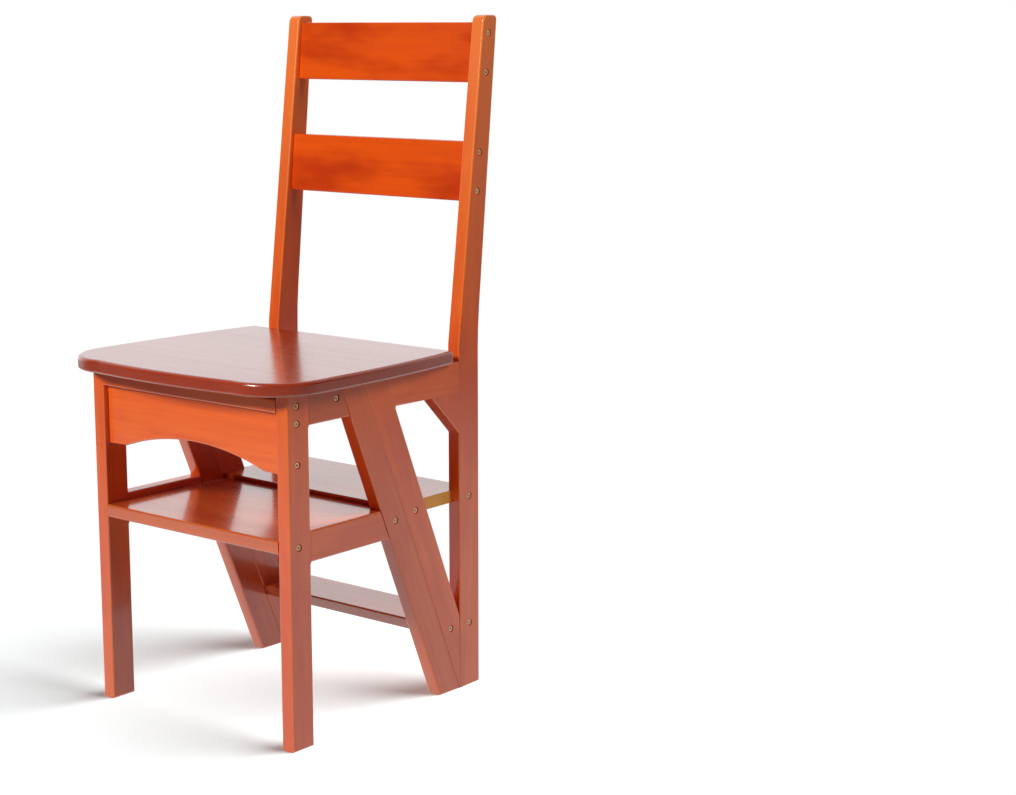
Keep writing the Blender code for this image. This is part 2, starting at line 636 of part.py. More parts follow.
def main_hinges(parents, look):
    """Two butt hinges on the tops of the side rails: a leaf on each half and a pin between them."""
    front_mesh = shaped_mesh("front_leaf", leaf_outline(MAIN_LEAF_LENGTH, MAIN_LEAF_THICKNESS,
                             MAIN_BARREL_RADIUS, 1), MAIN_LEAF_WIDTH, (1, 2, 0), steps=1)
    rear_mesh = shaped_mesh("rear_leaf", leaf_outline(MAIN_LEAF_LENGTH, MAIN_LEAF_THICKNESS,
                            MAIN_BARREL_RADIUS, -1), MAIN_LEAF_WIDTH, (1, 2, 0), steps=1)
    pin_mesh = rod("main_pin", MAIN_PIN_RADIUS, MAIN_LEAF_WIDTH, SCREW_SIDES)
    bore_mesh = rod("main_pin_bore", MAIN_PIN_RADIUS + FIT, MAIN_LEAF_WIDTH + 2 * CUT_OVERRUN,
                    SCREW_SIDES)
    middle_mesh = boxes_mesh("main_middle_gap", knuckle_gap(MAIN_LEAF_WIDTH, MAIN_BARREL_RADIUS, False))
    outer_mesh = boxes_mesh("main_outer_gaps", knuckle_gap(MAIN_LEAF_WIDTH, MAIN_BARREL_RADIUS, True))
    for side, sign in SIDES:
        place = (sign * PLANK_X, HINGE_AXIS_Y, AXIS_Z)
        front = add(f"main_hinge_front_leaf_{side}", front_mesh, place, parents["front"], look)
        rear = add(f"main_hinge_rear_leaf_{side}", rear_mesh, place, parents["rear"], look)
        add(f"main_hinge_pin_{side}", pin_mesh, place, parents["front"], look)
        bore = cutter(f"cut_main_bore_{side}", bore_mesh, place, parents["front"])
        cut(front, cutter(f"cut_main_middle_{side}", middle_mesh, place, parents["front"]))
        cut(rear, cutter(f"cut_main_outer_{side}", outer_mesh, place, parents["rear"]))
        cut(front, bore)
        cut(rear, bore)


def seat_hinges(parents, look):
    """Two small butt hinges under the rear edge of the seat, closed while the chair is a chair."""
    outline = leaf_outline(SEAT_LEAF_LENGTH, SEAT_LEAF_THICKNESS, SEAT_BARREL_RADIUS, 1)
    upside_down = [(y, -z, r) for y, z, r in outline]
    rail_mesh = shaped_mesh("seat_hinge_rail_leaf", outline, SEAT_LEAF_WIDTH, (1, 2, 0), steps=1)
    seat_mesh = shaped_mesh("seat_hinge_seat_leaf", upside_down, SEAT_LEAF_WIDTH, (1, 2, 0), steps=1)
    pin_mesh = rod("seat_pin", SEAT_PIN_RADIUS, SEAT_LEAF_WIDTH - CUT_OVERRUN, SCREW_SIDES)
    bore_mesh = rod("seat_pin_bore", SEAT_PIN_RADIUS + FIT, SEAT_LEAF_WIDTH + 2 * CUT_OVERRUN,
                    SCREW_SIDES)
    middle_mesh = boxes_mesh("seat_middle_gap", knuckle_gap(SEAT_LEAF_WIDTH, SEAT_BARREL_RADIUS, False))
    outer_mesh = boxes_mesh("seat_outer_gaps", knuckle_gap(SEAT_LEAF_WIDTH, SEAT_BARREL_RADIUS, True))
    for side, sign in SIDES:
        place = (sign * PLANK_X, SEAT_PIVOT_Y, SEAT_PIVOT_Z)
        rail = add(f"seat_hinge_rail_leaf_{side}", rail_mesh, place, parents["rear"], look)
        seat = add(f"seat_hinge_seat_leaf_{side}", seat_mesh, place, parents["seat"], look)
        cut(rail, cutter(f"cut_seat_middle_{side}", middle_mesh, place, parents["rear"]))
        cut(rail, cutter(f"join_seat_pin_{side}", pin_mesh, place, parents["rear"]), "UNION")
        cut(seat, cutter(f"cut_seat_outer_{side}", outer_mesh, place, parents["seat"]))
        cut(seat, cutter(f"cut_seat_bore_{side}", bore_mesh, place, parents["seat"]))


def main_mortise_mesh():
    """Recess across both stringers and rails for the two leaves and the barrel of a main hinge."""
    depth = MAIN_LEAF_THICKNESS + FIT / 2 + FIT
    barrel = MAIN_BARREL_RADIUS + 2 * FIT
    reach = MAIN_LEAF_LENGTH + FIT
    top = CUT_OVERRUN
    outline = [(-reach, -depth), (-barrel, -depth), (-barrel, -barrel), (barrel, -barrel),
               (barrel, -depth), (reach, -depth), (reach, top), (-reach, top)]
    return shaped_mesh("main_mortise", [(y, z, SEAM_ARRIS / 2) for y, z in outline],
                       PLANK_THICKNESS + 2 * CUT_OVERRUN, (1, 2, 0), steps=1)


def seat_hinge_mortise_mesh(name, flip):
    """Recess for one leaf and the barrel of a seat hinge, in the rail or upside down in the seat."""
    depth = SEAT_LEAF_THICKNESS + FIT / 2 + FIT
    barrel = SEAT_BARREL_RADIUS + 2 * FIT
    outline = [(-SEAT_LEAF_LENGTH - FIT, -depth), (-barrel, -depth), (-barrel, -barrel),
               (barrel, -barrel), (barrel, CUT_OVERRUN), (-SEAT_LEAF_LENGTH - FIT, CUT_OVERRUN)]
    return shaped_mesh(name, [(y, flip * z, SEAM_ARRIS / 2) for y, z in outline],
                       SEAT_LEAF_WIDTH + 2 * FIT, (1, 2, 0), steps=1)


def housing_boxes(sign):
    """Grooves in the inner faces of the rear post and stringer that hold the shelf ends."""
    boxes = []
    for top in (UPPER_SHELF_TOP, LOWER_SHELF_TOP):
        inner = INNER_X - CUT_OVERRUN
        outer = INNER_X + HOUSING_DEPTH + FIT
        low_x, high_x = sorted((sign * inner, sign * outer))
        front = split_y(top) - REAR_STRINGER_RUN
        boxes.append(((low_x, front, top - BOARD_THICKNESS - FIT),
                      (high_x, POST_REAR_Y + CUT_OVERRUN, top + FIT)))
    return boxes


def edge_hole_mesh():
    """Deep screw holes square into the sloping front edge of the rear stringer."""
    slope_angle = atan2(SPLIT_SLOPE, 1)
    unit = rod("edge_hole", EDGE_HOLE_RADIUS, 2 * EDGE_HOLE_DEPTH, SCREW_SIDES)
    shape = bmesh.new()
    for z in (RAIL_TOP - EDGE_HOLE_DROP, EDGE_HOLE_RISE):
        first = len(shape.verts)
        shape.from_mesh(unit)
        shape.verts.ensure_lookup_table()
        for vert in shape.verts[first:]:
            along, across, aside = vert.co.x, vert.co.y, vert.co.z
            vert.co = (aside, split_y(z) + along * cos(slope_angle) + across * sin(slope_angle),
                       z + along * sin(slope_angle) - across * cos(slope_angle))
    bpy.data.meshes.remove(unit)
    return finished_mesh("edge_holes", shape)


def front_half(parent, looks):
    """Legs, front stringers and rails with the step board, the middle shelf and the apron."""
    legs = side_plank("front_leg", leg_outline(), parent, looks["frame"])
    stringers = side_plank("front_stringer", front_stringer_outline(), parent, looks["frame"])
    top_rails = side_plank("front_top_rail", front_rail_outline(RAIL_TOP, RAIL_BOTTOM), parent,
                           looks["frame"])
    mid_rails = side_plank("mid_rail", front_rail_outline(MID_RAIL_TOP, MID_RAIL_BOTTOM), parent,
                           looks["frame"])
    length = 2 * (INNER_X - FIT)

    def rear(z):
        return split_y(z) - SPLIT_HALF_GAP

    step_board = cross_board("step_board", board_outline(STEP_BOARD_TOP, lambda z: 0, rear), length,
                             parent, looks["board"], BOARD_ARRIS)
    mid_shelf = cross_board("mid_shelf", board_outline(MID_SHELF_TOP, lambda z: 0, rear), length,
                            parent, looks["board"], BOARD_ARRIS)
    apron_mesh = shaped_mesh("apron", apron_outline(), APRON_THICKNESS, (0, 2, 1), steps=1)
    apron = add("apron", apron_mesh, (0, APRON_RECESS + APRON_THICKNESS / 2, 0), parent, looks["frame"])
    places = front_screw_places()
    for side, sign in SIDES:
        bores = cutter(f"cut_front_bores_{side}", bores_mesh(f"front_bores_{side}", places, sign),
                       (0, 0, 0), parent)
        for piece in (legs[side], stringers[side], top_rails[side], step_board, mid_shelf, apron):
            cut(piece, bores)
    return {"stringer": stringers, "rail": top_rails}


def rear_half(parent, looks):
    """Posts, rear stringers and rails with the two rear shelves and the two back slats."""
    posts = side_plank("rear_post", post_outline(), parent, looks["frame"])
    stringers = side_plank("rear_stringer", rear_stringer_outline(), parent, looks["frame"])
    rails = side_plank("rear_top_rail", rear_rail_outline(), parent, looks["frame"])
    shelf_length = 2 * (INNER_X + HOUSING_DEPTH)

    def front(z):
        return split_y(z) + SPLIT_HALF_GAP

    def rear(z):
        return POST_REAR_Y - SHELF_REAR_SETBACK

    boards = [cross_board(name, board_outline(top, front, rear), shelf_length, parent, looks["board"],
                          BOARD_ARRIS)
              for name, top in (("upper_rear_shelf", UPPER_SHELF_TOP), ("lower_rear_shelf", LOWER_SHELF_TOP))]
    slats = [cross_board(name, slat_section(top), 2 * (INNER_X - FIT), parent, looks["slat"], SLAT_ARRIS)
             for name, top in slat_tops().items()]
    places = rear_screw_places()
    holes_mesh = edge_hole_mesh()
    for side, sign in SIDES:
        housings = cutter(f"cut_housings_{side}", boxes_mesh(f"housings_{side}", housing_boxes(sign)),
                          (0, 0, 0), parent)
        bores = cutter(f"cut_rear_bores_{side}", bores_mesh(f"rear_bores_{side}", places, sign),
                       (0, 0, 0), parent)
        holes = cutter(f"cut_edge_holes_{side}", holes_mesh, (sign * PLANK_X, 0, 0), parent)
        for piece in (posts[side], stringers[side]):
            cut(piece, housings)
        for piece in (posts[side], stringers[side], *boards, *slats):
            cut(piece, bores)
        cut(stringers[side], holes)
    return {"stringer": stringers, "rail": rails}


def seat_board(parent, look):
    """Seat with recesses underneath for the barrels of the main hinges and its own hinge leaves."""
    mesh = shaped_mesh("seat_board", [(x, y - SEAT_PIVOT_Y, r) for x, y, r in seat_outline()],
                       SEAT_THICKNESS, (0, 1, 2), low_share=SEAT_LOW_ARRIS / SEAT_TOP_ARRIS, steps=3)
    seat = add("seat_board", mesh, (0, SEAT_PIVOT_Y, SEAT_BOTTOM + SEAT_THICKNESS / 2), parent, look)
    half = PLANK_THICKNESS / 2 + FIT
    for name, reach, top in (("barrel", MAIN_BARREL_RADIUS + 2 * FIT, MAIN_BARREL_RADIUS + 2 * FIT),
                             ("leaf", MAIN_LEAF_LENGTH + FIT, FIT)):
        boxes = [((sign * PLANK_X - half, HINGE_AXIS_Y - reach, SEAT_BOTTOM - CUT_OVERRUN),
                  (sign * PLANK_X + half, HINGE_AXIS_Y + reach, AXIS_Z + top)) for side, sign in SIDES]
        cut(seat, cutter(f"cut_seat_{name}_reliefs", boxes_mesh(f"seat_{name}_reliefs", boxes),
                         (0, 0, 0), parent))
    return seat


def mortises(front, rear, seat, parents):
    """Recesses that let the hinge leaves in flush with the wood."""
    main_mesh = main_mortise_mesh()
    rail_mesh = seat_hinge_mortise_mesh("rail_mortise", 1)
    seat_mesh = seat_hinge_mortise_mesh("seat_mortise", -1)
    for side, sign in SIDES:
        main = cutter(f"cut_main_mortise_{side}", main_mesh, (sign * PLANK_X, HINGE_AXIS_Y, AXIS_Z),
                      parents["front"])
        for piece in (front["stringer"], front["rail"], rear["stringer"], rear["rail"]):
            cut(piece[side], main)
        place = (sign * PLANK_X, SEAT_PIVOT_Y, SEAT_PIVOT_Z)
        cut(rear["rail"][side], cutter(f"cut_rail_mortise_{side}", rail_mesh, place, parents["rear"]))
        cut(seat, cutter(f"cut_seat_mortise_{side}", seat_mesh, place, parents["seat"]))


def build():
    """The whole chair, standing as a chair."""
    for thing in list(bpy.data.objects):
        bpy.data.objects.remove(thing)
    looks = {"frame": material("stained_frame_wood", (0.52, 0.13, 0.045), roughness=0.3, coat=0.4),
             "board": material("stained_board_wood", (0.36, 0.095, 0.045), roughness=0.2, coat=0.6),
             "slat": material("stained_slat_wood", (0.60, 0.12, 0.020), roughness=0.3, coat=0.4),
             "seat": material("stained_seat_wood", (0.33, 0.055, 0.025), roughness=0.15, coat=0.7)}
    brass = material("hinge_brass", (0.72, 0.48, 0.16), roughness=0.35, metallic=1.0)
    screw_brass = material("screw_brass", (0.78, 0.55, 0.26), roughness=0.3, metallic=1.0)
    axis = Vector((0, HINGE_AXIS_Y - CENTRE_Y, AXIS_Z))
    pivot = Vector((0, SEAT_PIVOT_Y - CENTRE_Y, SEAT_PIVOT_Z))
    front = group("front_half", (0, 0, 0))
    rear = group("rear_half", axis, front)
    seat_group = group("seat", pivot, rear)
    parents = {"front": front, "rear": rear, "seat": seat_group}
    front_pieces = front_half(front, looks)
    rear_pieces = rear_half(rear, looks)
    seat = seat_board(seat_group, looks["seat"])
    mortises(front_pieces, rear_pieces, seat, parents)
    main_hinges(parents, brass)
    seat_hinges(parents, brass)
    screw = screw_mesh()
    add_screws("front", front_screw_places(), front, screw, screw_brass)
    add_screws("rear", rear_screw_places(), rear, screw, screw_brass)


build()
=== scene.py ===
"""Finish of the library step chair, and the pale studio it stands in.

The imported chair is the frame. Every wooden piece is drawn again over its own node as a numpy surface
with soft edges, counterbored screw holes and a grain that runs along the piece. Screws are turned
anew, and the hinges keep their own shape under a brass finish. Lengths are metres, +Z is up.
"""

import json
from math import atan, cos, pi, radians, sin, tau

import bpy
import numpy as np
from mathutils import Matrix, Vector
from mathutils.geometry import delaunay_2d_cdt


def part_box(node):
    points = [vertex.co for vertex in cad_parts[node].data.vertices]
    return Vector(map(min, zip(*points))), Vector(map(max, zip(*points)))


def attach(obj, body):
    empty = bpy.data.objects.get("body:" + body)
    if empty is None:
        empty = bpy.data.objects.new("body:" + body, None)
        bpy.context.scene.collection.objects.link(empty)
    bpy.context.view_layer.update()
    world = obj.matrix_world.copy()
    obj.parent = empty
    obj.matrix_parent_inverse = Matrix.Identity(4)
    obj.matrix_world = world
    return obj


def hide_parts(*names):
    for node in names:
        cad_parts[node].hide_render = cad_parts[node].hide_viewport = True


bl_info = {
    "name": "Library Step Chair Finish",
    "version": (1, 0, 0),
    "blender": (4, 5, 0),
    "location": "3D View > Sidebar > Step Chair",
    "description": "Draws the wooden pieces, screws and finishes of a chair that turns into steps",
    "category": "Object",
}

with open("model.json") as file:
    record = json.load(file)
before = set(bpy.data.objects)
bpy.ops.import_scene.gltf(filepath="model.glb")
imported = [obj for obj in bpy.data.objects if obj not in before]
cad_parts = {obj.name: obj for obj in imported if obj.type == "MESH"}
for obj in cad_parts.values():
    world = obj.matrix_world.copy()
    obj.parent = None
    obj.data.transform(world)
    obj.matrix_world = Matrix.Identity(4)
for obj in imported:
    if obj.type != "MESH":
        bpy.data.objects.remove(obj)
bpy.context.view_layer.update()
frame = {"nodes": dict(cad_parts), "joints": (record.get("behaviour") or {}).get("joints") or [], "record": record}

MM = 0.001
FIT = 0.3 * MM
SIDES = (("R", 1), ("L", -1))

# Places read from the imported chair
HINGE = Vector(next(joint for joint in frame["joints"] if joint["name"] == "flip")["pos_m"])
LEG_LOW, LEG_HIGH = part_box("front_leg_R")
STRINGER_LOW, STRINGER_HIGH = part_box("front_stringer_R")
TOP_RAIL_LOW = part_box("front_top_rail_R")[0]
MID_RAIL_LOW, MID_RAIL_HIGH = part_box("mid_rail_R")
REAR_RAIL_LOW, REAR_RAIL_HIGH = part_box("rear_top_rail_R")
POST_LOW, POST_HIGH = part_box("rear_post_R")
SHELF_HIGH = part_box("upper_rear_shelf")[1]
APRON_LOW, APRON_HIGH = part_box("apron")
SEAT_LOW, SEAT_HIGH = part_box("seat_board")

# Whole chair, from those places
HALF_WIDTH = LEG_HIGH.x
INNER_X = LEG_LOW.x
PLANK_THICKNESS = HALF_WIDTH - INNER_X
PLANK_X = (HALF_WIDTH + INNER_X) / 2
RAIL_TOP = REAR_RAIL_HIGH.z
RAIL_BOTTOM = TOP_RAIL_LOW.z
MORTISE_FLOOR = STRINGER_HIGH.z
SHELF_REAR_SETBACK = 2.0 * MM
POST_FRONT_Y = REAR_RAIL_HIGH.y + FIT
POST_REAR_Y = SHELF_HIGH.y + SHELF_REAR_SETBACK
GUSSET = POST_FRONT_Y - POST_LOW.y
SPLIT_CLEARANCE = FIT / 2 / cos(atan((STRINGER_HIGH.y - HINGE.y) / RAIL_TOP))
SPLIT_SLOPE = (STRINGER_HIGH.y + SPLIT_CLEARANCE - HINGE.y) / RAIL_TOP
SPLIT_STRETCH = 1 / cos(atan(SPLIT_SLOPE))
FRONT_STRINGER_RUN = HINGE.y + (RAIL_TOP - MORTISE_FLOOR) * SPLIT_SLOPE - STRINGER_LOW.y
REAR_STRINGER_RUN = (REAR_RAIL_LOW.y - FIT * SPLIT_STRETCH - HINGE.y
                     - (RAIL_TOP - MORTISE_FLOOR) * SPLIT_SLOPE)

# Shape of the rear post above the seat
POST_FRONT_BEND_RISE = 21.0 * MM
POST_REAR_BEND_RISE = 39.0 * MM
POST_FRONT_LEAN = 0.126
POST_REAR_LEAN = 0.1
POST_BEND_LENGTH = 60.0 * MM
POST_FRONT_CORNER = 10.0 * MM
POST_REAR_CORNER = 6.0 * MM

# Apron and seat outlines
APRON_FLAT = 31.0 * MM
APRON_ARCH_RISE = 21.0 * MM
SEAT_REAR_OVERHANG = 8.5 * MM
SEAT_WAIST_RUN = 230.0 * MM
SEAT_FRONT_BOW = 8.5 * MM
SEAT_FRONT_CORNER = 70.0 * MM
SEAT_REAR_CORNER = 7.0 * MM

# Seams, holes and recesses
SEAM = 0.12 * MM
GLUE_LINE = 0.04 * MM
ARRIS_RUN = 3.0 * MM
BORE_RADIUS = 4.6 * MM
BORE_DEPTH = 4.3 * MM
EDGE_HOLE_RADIUS = 3.5 * MM
EDGE_HOLE_DEPTH = 9.0 * MM
EDGE_HOLE_DROP = 45.2 * MM
EDGE_HOLE_RISE = 58.5 * MM
MORTISE_REACH = 48.3 * MM
BARREL_REACH = 3.5 * MM
LEAF_PROUD = 0.12 * MM

# Fineness of the surfaces
ARRIS_STEPS = 5
CORNER_STEPS = 8
BORE_SIDES = 24
SCREW_SIDES = 36
ARCH_STEPS = 40
BOW_STEPS = 32
WAIST_STEPS = 24
SHARP = cos(radians(35))
FILL_INSIDE = 2
FILL_TOLERANCE = 1e-7

# Directions that a piece is drawn in: its outline's two axes, then its thickness
SIDE_VIEW = np.array([(0, 1, 0), (0, 0, 1), (1, 0, 0)], float)
FRONT_VIEW = np.array([(1, 0, 0), (0, 0, 1), (0, -1, 0)], float)
TOP_VIEW = np.eye(3)

# Directions of the grain in level and in upright boards: along it, across it, through the thickness
LEVEL_GRAIN = np.eye(3)
UPRIGHT_GRAIN = np.array([(1, 0, 0), (0, 0, 1), (0, 1, 0)], float)

# Farthest that a piece's grain coordinates are moved
GRAIN_SHIFT = 5.0

# Grain (y, z) of the planks in the side frames
UPRIGHT = (0, 1)
LEVEL = (1, 0)
SLOPING = (-SPLIT_SLOPE, 1)
LEANING = (POST_REAR_LEAN / 2, 1)

# How much deeper than the rest a plank of the side frames took its stain
STAIN_DEPTH = {"front_top_rail": 0.5, "front_stringer": 0.22, "mid_rail": 0.1, "front_leg": 0.1}

# How much hands have rubbed the stain of a plank thin at the top, fading out below; this lightening also stands
# for a painted highlight at the tops of the posts
RUBBED_AND_HIGHLIT = {"rear_post": 1.5}
RUB_AND_HIGHLIGHT_LOW = 0.5
RUB_AND_HIGHLIGHT_HIGH = 0.88

# Smallest rounding that is fully worn and fully given the painted highlight, and how squarely a sawn end looks
# along X
WORN_AND_HIGHLIT_ARRIS = 1.0 * MM
END_FACING = 0.9


def split_y(z):
    """Place of the sloping split between the two halves at height z."""
    return HINGE.y + (RAIL_TOP - z) * SPLIT_SLOPE


def body_of(node):
    """Name of the moving body that carries a node."""
    return next(name for name, nodes in frame["record"]["behaviour"]["bodies"].items() if node in nodes)


def add_object(name, data):
    """New object in the scene around some data."""
    made = bpy.data.objects.new(name, data)
    bpy.context.scene.collection.objects.link(made)
    return made


def unit(vectors):
    """Rows of an array, each divided by its own length."""
    return vectors / np.linalg.norm(vectors, axis=-1, keepdims=True)


def rounded(corners, steps=CORNER_STEPS):
    """Outline from corner rows of u, v, the edge's arris and, where the corner is an arc, its radius.

    An arc's centre lies on the bisector at radius / sin(half the corner's angle), and its points are
    centre + radius (cos a, sin a) with a running evenly from one tangent point to the other.
    """
    corners = np.array([(*corner, 0)[:4] for corner in corners], float)
    outline = []
    for index, (u, v, arris, radius) in enumerate(corners):
        if radius == 0:
            outline.append([(u, v, arris)])
            continue
        here = np.array((u, v))
        back = unit(corners[index - 1, :2] - here)
        onward = unit(corners[(index + 1) % len(corners), :2] - here)
        half = np.arccos(back @ onward) / 2
        centre = here + unit(back + onward) * radius / sin(half)
        first = here + back * radius / np.tan(half) - centre
        turn = np.sign(back[1] * onward[0] - back[0] * onward[1]) * (pi - 2 * half)
        angles = np.arctan2(first[1], first[0]) + turn * np.linspace(0, 1, steps + 1)
        arc = centre + radius * np.stack([np.cos(angles), np.sin(angles)], axis=1)
        outline.append(np.column_stack([arc, np.full(steps + 1, arris)]))
    return np.concatenate(outline)


def edge_normals(points):
    """Outward normals at the start and at the end of every edge of an anticlockwise outline.

    Edges that meet at less than the sharp angle share a normal, the mean weighted by their lengths,
    so an arc runs into a straight edge without bending its shade.
    """
    run = np.roll(points, -1, axis=0) - points
    outward = np.stack([run[:, 1], -run[:, 0]], axis=1)
    flat = unit(outward)
    before = np.roll(outward, 1, axis=0)
    soft = (np.sum(unit(before) * flat, axis=1) > SHARP)[:, None]
    shared = unit(before + outward)
    start = np.where(soft, shared, flat)
    end = np.where(np.roll(soft, -1, axis=0), np.roll(shared, -1, axis=0), flat)
    return start, end


def miters(points):
    """Inward direction at every corner, as long as moves both its edges inward by one unit."""
    run = unit(np.roll(points, -1, axis=0) - points)
    inward = np.stack([-run[:, 1], run[:, 0]], axis=1)
    before = np.roll(inward, 1, axis=0)
    return (before + inward) / (1 + np.sum(before * inward, axis=1, keepdims=True))


def grid_quads(rows):
    """Quads between neighbouring rows of point numbers, whose columns close into a ring."""
    after = np.roll(rows, -1, axis=1)
    return np.stack([rows[:-1], after[:-1], after[1:], rows[1:]], axis=-1)


class Surface:
    """A piece while it is worked out: its points, its polygons and the normal at each of their corners."""

    def __init__(self):
        self.points = np.empty((0, 3))
        # Share of wear and painted highlight at each point
        self.wear = np.empty(0)
        self.polygons = []
        self.normals = []

    def add_points(self, points, wear=0.0):
        """Take in an array of points and return their numbers in the same layout."""
        first = len(self.points)
        shape = points.shape[:-1]
        self.points = np.concatenate([self.points, points.reshape(-1, 3)])
        self.wear = np.concatenate([self.wear, np.broadcast_to(wear, shape).reshape(-1)])
        return np.arange(first, len(self.points)).reshape(shape)

    def add_faces(self, corners, normals):
        """Take in polygons as rows of point numbers, and the normals of their corners."""
        spread = np.broadcast_to(normals, (*corners.shape, 3))
        self.polygons += corners.reshape(-1, corners.shape[-1]).tolist()
        self.normals.append(spread.reshape(-1, 3))

    def fill(self, border, along, across, bores):
        """Flat face inside a border, with a round recess for each bore (along, across, radius, depth).

        A recess is a wall along centre + radius (cos a, sin a) and a flat floor. The face between
        border and recesses is a constrained Delaunay triangulation in its own plane.
        """
        normal = np.cross(along, across)
        level = self.points[border[0]] @ normal
        turn = np.linspace(0, tau, BORE_SIDES, endpoint=False)[:, None]
        radial = np.cos(turn) * along + np.sin(turn) * across
        loops = [border]
        for place_along, place_across, radius, depth in bores:
            middle = place_along * along + place_across * across + level * normal
            rim = self.add_points(middle + radius * radial)
            floor = self.add_points(middle - depth * normal + radius * radial)
            after = np.roll(radial, -1, axis=0)
            self.add_faces(grid_quads(np.stack([rim, floor]))[0],
                           -np.stack([radial, after, after, radial], axis=1))
            self.add_faces(floor[None], normal)
            loops.append(rim)
        self.add_faces(self.triangles(loops, along, across), normal)

    def triangles(self, loops, along, across):
        """Anticlockwise triangles between an outer loop of point numbers and the loops inside it.

        A triangle with all its corners on one inner loop lies in a hole, and is dropped.
        """
        order = np.concatenate(loops)
        flat = np.stack([self.points[order] @ along, self.points[order] @ across], axis=1)
        lengths = np.array([len(loop) for loop in loops])
        ends = np.cumsum(lengths)
        following = np.arange(1, len(order) + 1)
        following[ends - 1] = ends - lengths
        edges = np.stack([np.arange(len(order)), following], axis=1).tolist()
        made = delaunay_2d_cdt([Vector(point) for point in flat], edges, [], FILL_INSIDE, FILL_TOLERANCE)
        source = np.array([origins[0] for origins in made[3]])
        corners = source[np.array(made[2])]
        loop = np.repeat(np.arange(len(loops)), lengths)[corners]
        return order[corners[(loop[:, 0] == 0) | np.any(loop != loop[:, :1], axis=1)]]

    def make(self, name, axes, place, grain, look, depth, rubbed_and_highlit):
        """Mesh object in the chair's place, with its grain, its wear with painted highlight, and its stain as
        attributes.

        Grain coordinates are the point's distances along, across and through the wood, moved by a
        fixed amount of the piece's own, so that no two pieces show the same figure.
        """
        world = self.points @ axes + np.array(place)
        mesh = bpy.data.meshes.new(name)
        mesh.from_pydata(world.tolist(), [], self.polygons)
        mesh.shade_smooth()
        mesh.normals_split_custom_set((np.concatenate(self.normals) @ axes).tolist())
        offset = np.random.default_rng(sum(name.encode())).uniform(-GRAIN_SHIFT, GRAIN_SHIFT, 3)
        # Painted highlight with wear, growing towards the tops of the rubbed planks
        top_rub_and_highlight = np.clip((world[:, 2] - RUB_AND_HIGHLIGHT_LOW) / (RUB_AND_HIGHLIGHT_HIGH - RUB_AND_HIGHLIGHT_LOW), 0, 1)
        for label, kind, field, values in (
                ("grain", "FLOAT_VECTOR", "vector", (world @ grain.T + offset).ravel()),
                ("wear", "FLOAT", "value", self.wear + rubbed_and_highlit * top_rub_and_highlight),
                ("stain", "FLOAT", "value", np.full(len(world), depth))):
            mesh.attributes.new(label, kind, "POINT").data.foreach_set(field, values)
        mesh.materials.append(look)
        return add_object(name, mesh)


def board_surface(outline, thickness, low_share=1.0, bores=(), edge_bores=None):
    """Board: its anticlockwise outline carried round the thickness on two quarter circles.

    At angle a of the quarter, an edge of radius r is inset by r (1 - cos a) and stands r (1 - sin a)
    short of the face, and its normal leans from the outline's towards the face by a. The lower
    quarter's radius is multiplied by low_share. Bores are (u, v, face), edge bores (edge, places).
    """
    points, radius = outline[:, :2], outline[:, 2]
    quarter = np.linspace(0, pi / 2, ARRIS_STEPS + 1)
    tilt = np.concatenate([-quarter[::-1], quarter])[:, None]
    face = np.repeat([-1.0, 1.0], ARRIS_STEPS + 1)[:, None]
    reach = radius * np.where(face < 0, low_share, 1.0)
    flat = points + miters(points) * (reach * (1 - np.cos(tilt)))[..., None]
    depth = face * (thickness / 2 - reach) + reach * np.sin(tilt)
    surface = Surface()
    # Wear with painted highlight on the arrises, strongest halfway round each rounding
    wear = np.sin(2 * np.abs(tilt)) * np.clip(radius / WORN_AND_HIGHLIT_ARRIS, 0, 1)
    rows = surface.add_points(np.concatenate([flat, depth[..., None]], axis=-1), wear)
    start, end = (np.concatenate([np.cos(tilt)[..., None] * normal,
                                  np.broadcast_to(np.sin(tilt), depth.shape)[..., None]], axis=-1)
                  for normal in edge_normals(points))
    normals = np.stack([start[:-1], end[:-1], end[1:], start[1:]], axis=2)
    quads = grid_quads(rows)
    kept = np.ones(quads.shape[:2], bool)
    if edge_bores:
        edge, places = edge_bores
        kept[ARRIS_STEPS, edge] = False
        run = np.append(unit(points[(edge + 1) % len(points)] - points[edge]), 0)
        first = surface.points[rows[0, edge]] @ run
        surface.fill(quads[ARRIS_STEPS, edge], run, np.array((0, 0, 1.0)),
                     [(first + along, 0, EDGE_HOLE_RADIUS, EDGE_HOLE_DEPTH) for along in places])
    surface.add_faces(quads[kept], normals[kept])
    for side, border in ((-1, rows[0]), (1, rows[-1])):
        surface.fill(border, np.array((1.0, 0, 0)), np.array((0, float(side), 0)),
                     [(u, v * side, BORE_RADIUS, BORE_DEPTH) for u, v, at in bores if at == side])
    return surface


def seamed(start, end, seams, arris):
    """Corner rows along one straight edge, soft except where another member lies against it."""
    start, span = np.array(start), np.array(end) - np.array(start)
    length = np.linalg.norm(span)
    stops = [(0, arris)]
    for low, high in seams:
        stops += [(low - ARRIS_RUN, arris), (low, SEAM)]
        if high < length:
            stops += [(high, SEAM), (high + ARRIS_RUN, arris)]
    return [(*(start + span * stop / length), edge) for stop, edge in stops]


def leg_corners(arris):
    """Upright front leg, plain where the two rails meet its rear edge."""
    front, rear = LEG_LOW.y, LEG_HIGH.y
    meets = [(MID_RAIL_LOW.z, MID_RAIL_HIGH.z), (RAIL_BOTTOM, RAIL_TOP + SEAM)]
    return (seamed((rear, 0), (rear, RAIL_TOP), meets, arris)
            + [(rear, RAIL_TOP, SEAM), (front, RAIL_TOP, arris), (front, 0, arris)])


